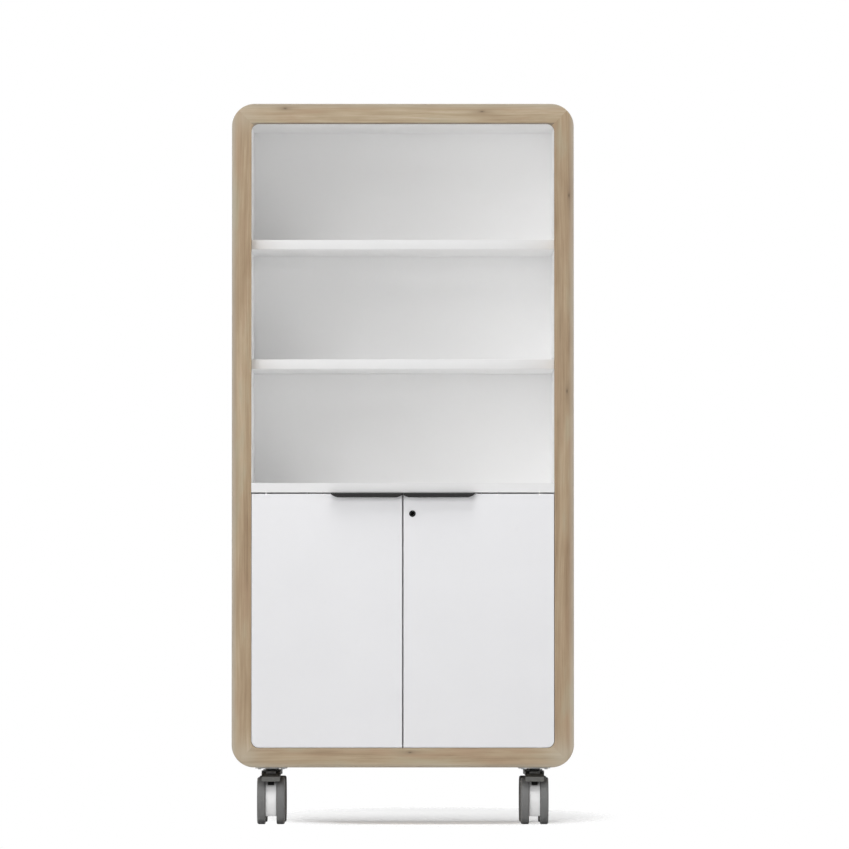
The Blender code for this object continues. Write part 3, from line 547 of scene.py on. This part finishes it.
def oak_edges(mix, colour, upright, depth, outward, wear_and_sheen):
    """Painted sheen on the outer edges near the front, and painted shade on the underside of the top rail.

    Outward is a point's distance from the frame's middle, along x on upright members and along z on
    the others.
    """
    limit = OUTER_HIGH[0] if upright else (OUTER_HIGH[1] - OUTER_LOW[1]) / 2
    distance = mix.node("ShaderNodeMath", {"operation": "ABSOLUTE"}, {0: outward})
    outer = mix.band(distance, limit - PAINTED_SHEEN_EDGE, limit)
    near = mix.band(FRONT + PAINTED_SHEEN_EDGE - depth, 0.0, PAINTED_SHEEN_EDGE / 2)
    # Painted sheen: near the front, the outer edges go over into a paler, greyer colour.
    colour = mix.mix(outer * near * 0.55, colour, srgb(*wear_and_sheen))
    if not upright:
        opening = limit - FRAME_FACE
        # Painted shade: the top rail's underside and inner edge, by the opening, go darker.
        under = mix.band(outward, 0.0, 0.1) - mix.band(outward, opening + 0.3 * MM, opening + 2 * MM)
        colour = mix.mix(under * 0.6, colour, srgb(*OAK_PAINTED_SHADE))
    return colour


def laminate_finish(name, red, green, blue, band_end=None):
    """Smooth white laminate: a faint cloud in the tone, a fine pebbled face and a few dull rub marks.

    A board with a front edge band is a little greyer up to the depth where the band ends.
    """
    mix = Finish(name)
    x, y, z = mix.place()
    cloud = mix.even_noise(6.0)
    pebble = mix.even_noise(1400.0, 1.0)
    rubs = mix.band(mix.noise(x * 55.0, y * 55.0, z * 30.0, 4.0, 0.65), 0.62, 0.78)
    colour = mix.mix(cloud, srgb(red, green, blue), srgb(red - 4, green - 4, blue - 4))
    colour = mix.mix(rubs * 0.25, colour, srgb(red - 9, green - 9, blue - 10))
    if band_end is not None:
        colour = mix.mix(mix.band(y, band_end, band_end + 0.1 * MM), srgb(*EDGE_BAND), colour)
    return mix.finish(colour, 0.40 + 0.08 * pebble + 0.12 * rubs, pebble, 0.03 * MM)


def coated_metal_finish(name, level, specular, roughness):
    """Powder coat: a fine orange-peel face with small lighter specks and a few worn patches."""
    mix = Finish(name, Specular_IOR_Level=specular)
    peel = mix.even_noise(1900.0, 2.0)
    specks = mix.band(mix.even_noise(5200.0, 1.0), 0.66, 0.74)
    wear_and_sheen = mix.band(mix.even_noise(70.0, 4.0), 0.55, 0.75)
    colour = mix.mix(wear_and_sheen * 0.5, srgb(level, level, level), srgb(level + 12, level + 12, level + 11))
    colour = mix.mix(specks * 0.35, colour, srgb(level + 34, level + 34, level + 34))
    return mix.finish(colour, roughness + 0.14 * peel - 0.08 * wear_and_sheen, peel, 0.05 * MM)


def plated_finish(name):
    """Zinc plating: bright steel with a blotchy, faintly blue and yellow sheen and fine scratches."""
    mix = Finish(name, Metallic=1.0)
    x, y, z = mix.place()
    blotch = mix.even_noise(160.0, 3.0)
    scratch = mix.noise(x * 900.0, y * 2600.0, z * 900.0, 2.0)
    colour = mix.ramp(blotch, [(0.30, srgb(176, 181, 188)), (0.52, srgb(192, 193, 194)),
                               (0.72, srgb(196, 192, 178))])
    return mix.finish(colour, 0.24 + 0.22 * blotch + 0.08 * scratch, scratch, 0.02 * MM)


def moulded_finish(name, red, green, blue, roughness, dust, painted_light_end=None):
    """Moulded plastic: a fine spark-eroded grain, slight flow clouds and a film of pale dust in patches.

    Where a painted-light end is given, the front face up to that depth is paler: painted light, as on the
    lit front of a pedal's lip.
    """
    mix = Finish(name)
    grain = mix.even_noise(2300.0, 2.0)
    flow = mix.even_noise(28.0)
    patches = mix.band(mix.even_noise(95.0, 4.0), 0.50, 0.72)
    colour = mix.mix(flow, srgb(red - 5, green - 5, blue - 5), srgb(red + 5, green + 5, blue + 5))
    if painted_light_end is not None:
        # Painted light: in front of the given depth the face is paler.
        depth = mix.place()[1]
        colour = mix.mix(mix.band(depth, painted_light_end, painted_light_end + 0.6 * MM), srgb(*PLASTIC_PAINTED_LIGHT), colour)
    colour = mix.mix(patches * dust, colour, srgb(*DUST))
    return mix.finish(colour, roughness + 0.14 * grain + 0.10 * patches, grain, 0.06 * MM)


def wheel_finish(name, level):
    """Wheel tread: matt grey with rolled-in dust streaks along the tread and small scuffs across it."""
    mix = Finish(name)
    x, y, z = mix.place()
    streaks = mix.noise(x * 620.0, y * 14.0, z * 14.0, 3.0)
    scuffs = mix.band(mix.noise(x * 150.0, y * 240.0, z * 240.0, 4.0), 0.58, 0.74)
    grain = mix.even_noise(2600.0, 2.0)
    dark = srgb(level - 12, level - 12, level - 12)
    light = srgb(level + 10, level + 10, level + 9)
    colour = mix.mix(streaks, dark, light)
    colour = mix.mix(scuffs * 0.30, colour, srgb(level + 32, level + 31, level + 28))
    return mix.finish(colour, 0.60 + 0.20 * grain, grain, 0.08 * MM)


# Each oak finish's last colour is the painted sheen on its outer front edges.
OAK_RAIL = oak_finish("oak_rail", upright=False, seed=3.7, knots=RAIL_KNOTS, shift=(2, 1, 0),
                      wear_and_sheen=(167, 161, 148))
OAK_STILE = oak_finish("oak_stile", upright=True, seed=11.3, knots=STILE_KNOTS, shift=(-3, -7, -9),
                       wear_and_sheen=(182, 178, 168))
WHITE_BOARD = laminate_finish("white_laminate_board", 250, 250, 250)
WHITE_SHELF = laminate_finish("white_laminate_shelf", 250, 250, 250,
                              band_end=lowest("upper_shelf")[1] + BOARD_EDGE)
WHITE_DIVIDER = laminate_finish("white_laminate_divider", 250, 250, 250, band_end=FRONT + BOARD_EDGE)
WHITE_DOOR = laminate_finish("white_laminate_door", 241, 241, 243)
DARK_METAL = coated_metal_finish("dark_coated_metal", level=30, specular=0.25, roughness=0.44)
BLACK_METAL = coated_metal_finish("black_coated_metal", level=3, specular=0.05, roughness=0.46)
PLATED_STEEL = plated_finish("zinc_plated_steel_sheet")
CASTER_PLASTIC = moulded_finish("dark_moulded_plastic", 48, 48, 46, roughness=0.42, dust=0.10)
# The pedal's lip gets painted light on its front face.
PEDAL_PLASTIC = moulded_finish("dark_pedal_plastic", 46, 46, 44, roughness=0.42, dust=0.08,
                               painted_light_end=lowest("caster_front_left_pedal")[1] + PEDAL_PAINTED_LIGHT_DEPTH)
CATCH_PLASTIC = moulded_finish("black_moulded_plastic", 40, 40, 41, roughness=0.42, dust=0.05)
GREY_PLASTIC = moulded_finish("light_grey_moulded_plastic", 248, 248, 248, roughness=0.38, dust=0.04)
WHEEL_GREY = wheel_finish("grey_wheel_tread", level=112)
NYLON = moulded_finish("white_nylon_bush", 226, 224, 216, roughness=0.36, dust=0.05)


# Frame

def frame_members():
    """Four mitred members: one profile carried round the front outline, cut at the corners' diagonals.

    Each profile point has an inset from the outer outline, a depth, and a corner radius of its own.
    A member runs from the middle of one corner to the middle of the next.
    """
    cosine, sine = quarter(ROUND_STEPS)
    draw = FRAME_EDGE * (1 - cosine)
    rise = FRAME_EDGE * (1 - sine)
    inner_draw = FRAME_INNER_EDGE * (1 - cosine[::-1])
    inner_rise = FRAME_INNER_EDGE * (1 - sine[::-1])
    opening = FRAME_FACE + FACE_PROUD
    lip_end = FRONT + FRAME_LIP - FIT
    sections = [(draw, FRONT + rise, OUTER_RADIUS - draw),
                (opening - inner_draw, FRONT + inner_rise, INNER_RADIUS + inner_draw),
                ([opening], [lip_end], [INNER_RADIUS]),
                ([FRAME_FACE - BOARD], [lip_end], [REBATE_CORNER]),
                ([FRAME_FACE - BOARD], [REAR], [REBATE_CORNER]),
                (draw[::-1], REAR - rise[::-1], OUTER_RADIUS - draw[::-1])]
    insets, depths, radii = [np.concatenate(values) for values in zip(*sections)]
    steps = FRAME_CORNER_STEPS
    x, z = ring(OUTER_LOW, OUTER_HIGH, insets, radii, steps)
    points = np.stack([x, np.broadcast_to(depths[:, None], x.shape), z], axis=-1)
    for corner, (side, finish) in enumerate((("top", OAK_RAIL), ("left", OAK_STILE),
                                             ("bottom", OAK_RAIL), ("right", OAK_STILE))):
        start = corner * (steps + 1) + steps // 2
        columns = np.arange(start, start + steps + 2) % x.shape[1]
        member = points[:, columns].copy()
        axis = 0 if side in ("top", "bottom") else 2
        ends = member[:, [0, -1], axis]
        member[:, [0, -1], axis] = ends - np.sign(ends - ends.mean()) * MITRE_GAP / 2 * math.sqrt(2)
        add_piece("frame_skin_" + side, skin(member.transpose(1, 0, 2)), finish, "cabinet",
                  ["frame_" + side])


# Boards and doors

def boards():
    """Loose and fixed shelves with softly rounded edges."""
    finishes = {"upper_shelf": WHITE_SHELF, "middle_shelf": WHITE_SHELF, "lower_shelf": WHITE_BOARD}
    for name, finish in finishes.items():
        shell = slab(lowest(name), highest(name), 2, BOARD_EDGE)
        add_piece(name + "_board", shell, finish, "cabinet", [name])


def doors():
    """Door leaves with one rounded lower corner and softly rounded edges."""
    plain = BOARD_EDGE
    corners = {"left": (plain, plain, DOOR_CORNER, plain), "right": (plain, plain, plain, DOOR_CORNER)}
    for side in SIDES:
        node = "door_" + side
        shell = slab(lowest(node), highest(node), 1, BOARD_EDGE, corners[side], DOOR_CORNER_STEPS)
        add_piece("door_leaf_" + side, shell, WHITE_DOOR, f"door_{side}_leaf", [node])


def handles():
    """Edge pulls of folded sheet: the fold's two sides carried along the door, the lip's ends cut back.

    In front of the door, the outer end draws in by the mean of the drop's share and its cube, and the
    end by the other door in proportion to the drop, over the lip's lowest part only.
    """
    for side in SIDES:
        node = "handle_" + side
        low, high = lowest(node), highest(node)
        heel = np.array([high[1] - HANDLE_HEEL, high[2] - HANDLE_HEEL])
        bend = np.array([low[1] + HANDLE_BEND, high[2] - HANDLE_BEND])
        cosine, sine = quarter(HANDLE_BEND_STEPS)
        rising = np.stack([cosine, sine], axis=1)
        falling = np.stack([-sine, cosine], axis=1)
        lip = np.linspace(bend[1], high[2] - HANDLE_DROP, HANDLE_LIP_STEPS + 1)[1:]
        faces = []
        for inward in (0.0, HANDLE_SHEET):
            faces.append(np.concatenate([
                [[high[1] - inward, low[2]]], heel + (HANDLE_HEEL - inward) * rising,
                bend + (HANDLE_BEND - inward) * falling,
                np.stack([np.full(HANDLE_LIP_STEPS, low[1] + inward), lip], axis=1)]))
        section = np.concatenate([faces[0], faces[1][::-1]])
        drop = np.clip((high[2] - HANDLE_SHEET - section[:, 1]) / (HANDLE_DROP - HANDLE_SHEET), 0, 1)
        foot = np.clip((high[2] - HANDLE_DROP + HANDLE_INNER_RISE - section[:, 1]) / HANDLE_INNER_RISE, 0, 1)
        lip_only = section[:, 0] < FRONT
        outer = HANDLE_OUTER_SLANT * (drop + drop ** 3) / 2 * lip_only
        inner = HANDLE_INNER_SLANT * foot * lip_only
        loops = np.empty((2, len(section), 3))
        loops[0, :, 0] = low[0] + (outer if side == "left" else inner)
        loops[1, :, 0] = high[0] - (inner if side == "left" else outer)
        loops[..., 1:] = section
        add_piece("edge_pull_" + side, skin(loops, folded=True), DARK_METAL, f"door_{side}_leaf",
                  [node], bevel=HANDLE_EDGE)


def lock():
    """Lock rose turned about its axis, and a plug whose face runs in to a keyway."""
    low, high = lowest("lock_housing"), highest("lock_housing")
    middle = centre("lock_housing")
    middle[1] = low[1]
    flange = (high[0] - low[0]) / 2
    bore = PLUG_RADIUS + FIT
    thick = FRONT - low[1] - ROSE_GAP
    barrel = flange - BARREL_INSET
    profile = np.concatenate([[(bore, BORE_DEPTH), (bore, BORE_EDGE), (bore + BORE_EDGE, 0)],
                              fillet((flange - ROSE_EDGE, 0), (flange, 0), (flange, ROSE_EDGE)),
                              [(flange, thick), (barrel, thick), (barrel, high[1] - low[1]),
                               (bore, high[1] - low[1])]])
    add_piece("lock_rose", lathe(profile, middle, 1), BLACK_METAL, "door_right_leaf",
              ["lock_housing"])

    face, back = lowest("lock_plug")[1], highest("lock_plug")[1]
    angles = np.linspace(0, 2 * math.pi, PLUG_STEPS, endpoint=False)
    circle = np.stack([np.cos(angles), np.sin(angles)], axis=1)
    half = np.array([KEYWAY_WIDTH, KEYWAY_LENGTH]) / 2
    keyway = circle * np.min(half / np.maximum(np.abs(circle), TINY), axis=1, keepdims=True)
    step = back - PLUG_TAIL_LENGTH
    tail = circle * PLUG_TAIL_RADIUS
    wall = circle * PLUG_RADIUS
    rows = [(tail, back), (tail, step), (wall, step), (wall, face + PLUG_EDGE),
            (circle * (PLUG_RADIUS - PLUG_EDGE), face), (keyway, face), (keyway, face + KEYWAY_DEPTH)]
    loops = np.empty((len(rows), len(angles), 3))
    for loop, (outline, depth) in zip(loops, rows):
        loop[:, [0, 2]] = middle[[0, 2]] + outline
        loop[:, 1] = depth
    add_piece("lock_barrel_plug", skin(loops), BLACK_METAL, "lock_core", ["lock_plug"])


# Casters

def wheels(label, body):
    """Two wheels turned about the axle, each with a round-shouldered tread, a dished face and a hub."""
    axle = centre(label + "_axle")
    for side in SIDES:
        node = f"{label}_wheel_{side}"
        low, high = lowest(node), highest(node)
        way = 1 if centre(node)[0] > axle[0] else -1
        middle = axle.copy()
        middle[0] = low[0] if way > 0 else high[0]
        radius = (high[2] - low[2]) / 2
        width = high[0] - low[0]
        rim = radius - WHEEL_RIM
        dish = width - WHEEL_DISH
        dish_edge = rim - DISH_SLOPE
        hub = width - HUB_RECESS
        profile = np.concatenate([
            [(AXLE_HOLE, 0)],
            fillet((radius - TREAD_INNER_ROUND, 0), (radius, 0), (radius, TREAD_INNER_ROUND)),
            fillet((radius, width - TREAD_OUTER_ROUND), (radius, width),
                   (radius - TREAD_OUTER_ROUND, width)),
            fillet((rim + 1 * MM, width), (rim, width),
                   (rim - 0.4 * MM, width - 0.8 * MM), EDGE_STEPS),
            fillet((dish_edge + 1 * MM, dish + 1 * MM), (dish_edge, dish),
                   (dish_edge - 2 * MM, dish), EDGE_STEPS),
            fillet((HUB_FOOT + 3 * MM, dish), (HUB_FOOT, dish),
                   (HUB_FOOT - 1 * MM, dish + 0.6 * MM), EDGE_STEPS),
            fillet((HUB_RADIUS + 0.6 * MM, hub - 0.6 * MM), (HUB_RADIUS, hub),
                   (HUB_RADIUS - 1.4 * MM, hub), EDGE_STEPS),
            [(AXLE_HOLE, hub)]])
        add_piece(f"{label}_tyre_{side}", lathe(profile, middle, 0, way, WHEEL_STEPS), WHEEL_GREY,
                  f"{body}_wheel_{side}", [node])


def axle_pin(label, body):
    """A turned axle with domed heads."""
    node = label + "_axle"
    low, high = lowest(node), highest(node)
    half = (high[0] - low[0]) / 2
    head = (high[2] - low[2]) / 2
    shoulder = half - AXLE_HEAD_LENGTH
    dome = fillet((head, half - AXLE_DOME_HEIGHT), (head, half), (head - AXLE_DOME_WIDTH, half))
    end = np.concatenate([[(AXLE_RADIUS, shoulder), (head, shoulder)], dome, [(AXLE_END_RADIUS, half)]])
    profile = np.concatenate([(end * [1, -1])[::-1], end])
    add_piece(label + "_pin", lathe(profile, centre(node), 0, 1, AXLE_STEPS), PLATED_STEEL,
              body + "_swivel", [node])


def caster_body(label, body):
    """The grey body between the wheels, as a distance from the axle over angle and width.

    The distance is the body's radius, less where the rims are rounded, less where the flat underside
    or the floor of the neck's slot is nearer.
    """
    node = label + "_body"
    low, high = lowest(node), highest(node)
    half = (high[0] - low[0]) / 2
    radius = (high[1] - low[1]) / 2
    axle = centre(label + "_axle")
    flat = axle[2] - low[2]
    seat = lowest(label + "_head")[2] - FIT - axle[2]
    cosine, sine = quarter(ROUND_STEPS)
    rim_x = half - BODY_EDGE * (1 - sine[::-1])
    rim_inset = BODY_EDGE * (1 - cosine[::-1])
    places = np.concatenate([-rim_x, [-SLOT_HALF] * 2, [SLOT_HALF] * 2, rim_x[::-1]])
    insets = np.concatenate([rim_inset, [0] * 4, rim_inset[::-1]])
    slotted = np.zeros(len(places), bool)
    slotted[len(rim_x) + 1:len(rim_x) + 3] = True
    angles = np.linspace(0, 2 * math.pi, BODY_STEPS, endpoint=False)
    up = np.maximum(np.sin(angles), TINY)
    down = np.maximum(-np.sin(angles), TINY)
    distance = np.broadcast_to(radius - insets[:, None], (len(places), len(angles)))
    distance = np.minimum(distance, (flat - insets[:, None]) / down)
    distance = np.where(slotted[:, None], np.minimum(distance, seat / up), distance)
    outlines = np.stack([axle[1] + distance * np.cos(angles), axle[2] + distance * np.sin(angles)], axis=-1)
    add_piece(label + "_shell", carried(outlines, axle[0] + places), GREY_PLASTIC, body + "_swivel",
              [node])


def caster_head(label, body, forward, braked):
    """The swivel head: a turned crown with a ring, a tapered neck into the body, and the pedal's tongue."""
    swivel = centre(label + "_plate")
    axle = centre(label + "_axle")
    trail = (axle[1] - swivel[1]) * forward
    top = highest(label + "_head")[2]
    bottom = top - HEAD_HEIGHT
    crown = top - HEAD_RING_HEIGHT
    cap = np.concatenate([
        [(KINGPIN_HOLE, top)],
        fillet((HEAD_RING_RADIUS - RING_EDGE, top), (HEAD_RING_RADIUS, top),
               (HEAD_RING_RADIUS, top - RING_EDGE)),
        [(HEAD_RING_RADIUS, crown)],
        fillet((HEAD_RADIUS - CROWN_TOP_EDGE, crown), (HEAD_RADIUS, crown),
               (HEAD_RADIUS, crown - CROWN_TOP_EDGE)),
        fillet((HEAD_RADIUS, bottom + CROWN_LOW_EDGE), (HEAD_RADIUS, bottom),
               (HEAD_RADIUS - CROWN_LOW_EDGE, bottom)),
        [(CROWN_HOLE, bottom)]])
    middle = np.array([swivel[0], swivel[1], 0])
    seat = lowest(label + "_head")[2]
    outline = np.array([(trail - NECK_HALF_LENGTH, seat), (trail + NECK_HALF_LENGTH, seat),
                        (HEAD_RING_RADIUS, bottom + HEAD_HEIGHT / 2),
                        (-HEAD_RING_RADIUS, bottom + HEAD_HEIGHT / 2)])
    outline[:, 0] = swivel[1] + forward * outline[:, 0]
    neck = carried([outline] * 2, swivel[0] + np.array([-NECK_HALF, NECK_HALF]))
    shells = [lathe(cap, middle, 2), neck]
    if braked:
        pedal = label + "_pedal"
        pivot_z = highest(pedal)[2] - PEDAL_HUB
        near = lowest(label + "_head")[1]
        low = np.array([swivel[0] - TONGUE_HALF, near, pivot_z - PEDAL_HUB])
        high = np.array([swivel[0] + TONGUE_HALF, swivel[1], pivot_z + PEDAL_HUB])
        shells.append(slab(low, high, 0, TONGUE_EDGE))
    add_piece(label + "_cover", together(*shells), CASTER_PLASTIC, body + "_swivel",
              [label + "_head"], bevel=PLASTIC_EDGE)


def pedal(label, body):
    """A foot pedal: its side view carried across its width, cut back at the middle for the tongue.

    Towards each end the lip's lower edge lifts by a quarter circle, so its lower corners are round.
    """
    node = label + "_pedal"
    low, high = lowest(node), highest(node)
    half = (high[0] - low[0]) / 2
    pivot = np.array([low[1] + PEDAL_LENGTH, high[2] - PEDAL_HUB])
    turn = np.linspace(math.pi / 2, 3 * math.pi / 2, PEDAL_HUB_POINTS)
    hub = PEDAL_HUB * np.stack([np.cos(turn), np.sin(turn)], axis=1)
    lip_back = PEDAL_LENGTH - PEDAL_LIP_DEPTH
    front = np.array([(lip_back - PEDAL_SHOULDER, -PEDAL_LIP_TOP - PEDAL_LIP_DEPTH),
                      (lip_back, -PEDAL_LIP_BOTTOM), (PEDAL_LENGTH, -PEDAL_LIP_BOTTOM),
                      (PEDAL_LENGTH, -PEDAL_LIP_TOP), (PEDAL_LENGTH - PEDAL_SHOULDER, -PEDAL_SHOULDER)])
    share = PEDAL_SLOT_END / front[[-1, 0], 0]
    edge = hub[[0, -1], 1] + share * (front[[-1, 0], 1] - hub[[0, -1], 1])
    cut = np.stack([np.full(len(hub), PEDAL_SLOT_END), np.linspace(edge[0], edge[1], len(hub))], axis=1)
    cosine, sine = quarter(ROUND_STEPS)
    ear = half - PEDAL_CORNER * (1 - sine[::-1])
    lift = PEDAL_CORNER * (1 - cosine[::-1])
    places = np.concatenate([-ear, [-PEDAL_SLOT_HALF] * 2, [PEDAL_SLOT_HALF] * 2, ear[::-1]])
    lifts = np.concatenate([lift, [0] * 4, lift[::-1]])
    outlines = np.broadcast_to(np.concatenate([hub, front]), (len(places), len(hub) + len(front), 2)).copy()
    outlines[len(ear) + 1:len(ear) + 3, :len(hub)] = cut
    outlines[:, len(hub) + 1:len(hub) + 3, 1] += lifts[:, None]
    outlines[..., 0] = pivot[0] - outlines[..., 0]
    outlines[..., 1] += pivot[1]
    add_piece(label + "_foot_pedal", carried(outlines, (low[0] + high[0]) / 2 + places), PEDAL_PLASTIC,
              body + "_pedal", [node], bevel=PLASTIC_EDGE)


def casters():
    """Four twin-wheel casters; the front pair has pedals."""
    for row in ROWS:
        for side in SIDES:
            label = f"caster_{row}_{side}"
            body = f"{row}_{side}"
            forward = -1 if row == "front" else 1
            wheels(label, body)
            axle_pin(label, body)
            caster_body(label, body)
            caster_head(label, body, forward, row == "front")
            if row == "front":
                pedal(label, body)


# Fasteners

def screw(middle, axis, way, radius, height):
    """A pan-head screw: a domed turned head with a small socket."""
    dome = fillet((radius, height * SCREW_WALL), (radius, height), (radius * SCREW_CROWN, height),
                  SCREW_DOME_STEPS)
    socket = [(radius * SCREW_SOCKET, height), (radius * SCREW_SOCKET_FLOOR, height * SCREW_SOCKET_HEIGHT)]
    profile = np.concatenate([[(radius, 0)], dome, socket])
    return lathe(profile, middle, axis, way, SCREW_STEPS)


def fasteners():
    """Screws of the caster plates, under the frame, and of the back panel, on its rear face."""
    under = []
    for row in ROWS:
        for side in SIDES:
            plate = f"caster_{row}_{side}_plate"
            spread = (highest(plate)[0] - lowest(plate)[0]) / 2 - SCREW_INSET
            face = highest(plate)[2] - CASTER_PLATE_THICKNESS
            for across in (-1, 1):
                for ahead in (-1, 1):
                    middle = centre(plate) + np.array([across * spread, ahead * spread, 0])
                    middle[2] = face
                    under.append(screw(middle, 2, -1, *PLATE_SCREW))
    add_piece("caster_plate_screws", together(*under), PLATED_STEEL, "cabinet")

    low = lowest("back_panel") + SCREW_INSET
    high = highest("back_panel") - SCREW_INSET
    sides, ends = (low[0], high[0]), (low[2], high[2])
    places = [(x, height) for height in np.linspace(*ends, SIDE_SCREWS) for x in sides]
    places += [(x, height) for x in np.linspace(*sides, END_SCREWS)[1:-1] for height in ends]
    face = highest("back_panel")[1]
    rear = [screw((x, face, height), 1, 1, *PANEL_SCREW) for x, height in places]
    add_piece("back_panel_screws", together(*rear), PLATED_STEEL, "cabinet")


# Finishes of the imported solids

def dress_solids():
    """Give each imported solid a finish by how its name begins, and white laminate to the rest."""
    finishes = {"frame": OAK_RAIL, "hinge_pin": PLATED_STEEL, "hinge_bush": NYLON, "shelf_pin": PLATED_STEEL,
                "catch_plate": PLATED_STEEL, "magnet_catch": CATCH_PLASTIC, "lock_cam": PLATED_STEEL,
                "lock": BLACK_METAL, "handle": DARK_METAL, "door": WHITE_DOOR, "caster": PLATED_STEEL,
                "divider": WHITE_DIVIDER}
    for name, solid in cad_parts.items():
        finish = next((found for start, found in finishes.items() if name.startswith(start)), WHITE_BOARD)
        solid.data.materials.clear()
        solid.data.materials.append(finish)


# Studio

def floor():
    """A pale floor that keeps the cabinet's shadow and, further off, fades into the white around it."""
    half = FLOOR_HALF
    mesh = bpy.data.meshes.new("floor")
    mesh.from_pydata([(-half, -half, 0), (half, -half, 0), (half, half, 0), (-half, half, 0)], [],
                     [(0, 1, 2, 3)])
    plane = bpy.data.objects.new("floor", mesh)
    bpy.context.scene.collection.objects.link(plane)
    mix = Finish("pale_floor", Base_Color=srgb(*FLOOR_COLOUR), Roughness=0.9, Specular_IOR_Level=0.0,
                 Emission_Strength=1.0)
    seen = mix.node("ShaderNodeLightPath", output="Is Camera Ray")
    mix.feed(mix.shader.inputs["Emission Color"], mix.mix(seen, (0, 0, 0, 1), FLOOR_GLOW))
    x, y = mix.place()[:2]
    far_x = (x - FLOOR_MIDDLE[0]) * (1 / FLOOR_REACH[0])
    far_y = (y - FLOOR_MIDDLE[1]) * (1 / FLOOR_REACH[1])
    faded = mix.band(far_x * far_x + far_y * far_y, *FLOOR_FADE) * seen
    clear = mix.node("ShaderNodeBsdfTransparent")
    blend = mix.node("ShaderNodeMixShader", sockets={0: faded, 1: mix.surface(), 2: clear})
    mix.feed(mix.tree.nodes["Material Output"].inputs["Surface"], blend)
    mesh.materials.append(mix.material)


def surroundings():
    """An even soft sky for the object, white where the camera, a gloss or a glass looks at it."""
    world = bpy.data.worlds.new("studio")
    bpy.context.scene.world = world
    world.use_nodes = True
    graph = Graph(world.node_tree)
    sky = graph.tree.nodes["Background"]
    graph.feed(sky.inputs["Color"], (1, 1, 1, 1))
    seen = graph.node("ShaderNodeLightPath", output="Is Camera Ray")
    for ray in ("Is Glossy Ray", "Is Transmission Ray"):
        seen = seen.math("MAXIMUM", seen, graph.node("ShaderNodeLightPath", output=ray))
    level = graph.node("ShaderNodeMapRange", sockets={"Value": seen, "To Min": SKY, "To Max": 1.0})
    graph.feed(sky.inputs["Strength"], level)


def lamp(name, azimuth, elevation, distance, width, height, power):
    """A soft light that looks at the cabinet; azimuth 0 is in front, and minus is to the left."""
    light = bpy.data.lights.new(name, "AREA")
    light.shape = "RECTANGLE"
    light.size = width
    light.size_y = height
    light.energy = power
    stand = bpy.data.objects.new(name, light)
    bpy.context.scene.collection.objects.link(stand)
    turn, rise = math.radians(azimuth), math.radians(elevation)
    away = np.array([math.sin(turn) * math.cos(rise), -math.cos(turn) * math.cos(rise), math.sin(rise)])
    stand.location = np.array([0, 0, LAMP_AIM]) + distance * away
    stand.rotation_euler = (math.radians(90) - rise, 0, turn)


def camera():
    """A long lens straight in front, a little above the casters, framed as the picture is."""
    view = bpy.data.cameras.new("camera")
    view.sensor_width = SENSOR_WIDTH
    view.lens = SENSOR_WIDTH * CAMERA_DISTANCE / FRAMED_WIDTH
    view.clip_end = CAMERA_REACH
    stand = bpy.data.objects.new("camera", view)
    bpy.context.scene.collection.objects.link(stand)
    place = np.array([0, FRONT - CAMERA_DISTANCE, CAMERA_HEIGHT])
    target = np.array([AIM_X, FRONT, AIM_Z])
    ahead = target - place
    stand.location = place
    stand.rotation_euler = (math.atan2(ahead[2], math.hypot(ahead[0], ahead[1])) + math.pi / 2, 0,
                            -math.atan2(ahead[0], ahead[1]))
    bpy.context.scene.camera = stand


bpy.context.scene.view_settings.view_transform = "Standard"
bpy.context.scene.cycles.max_bounces = 16
bpy.context.scene.cycles.diffuse_bounces = 12
dress_solids()
frame_members()
boards()
doors()
handles()
lock()
casters()
fasteners()
floor()
surroundings()
for lamp_name, lamp_sizes in LAMPS.items():
    lamp(lamp_name, *lamp_sizes)
camera()
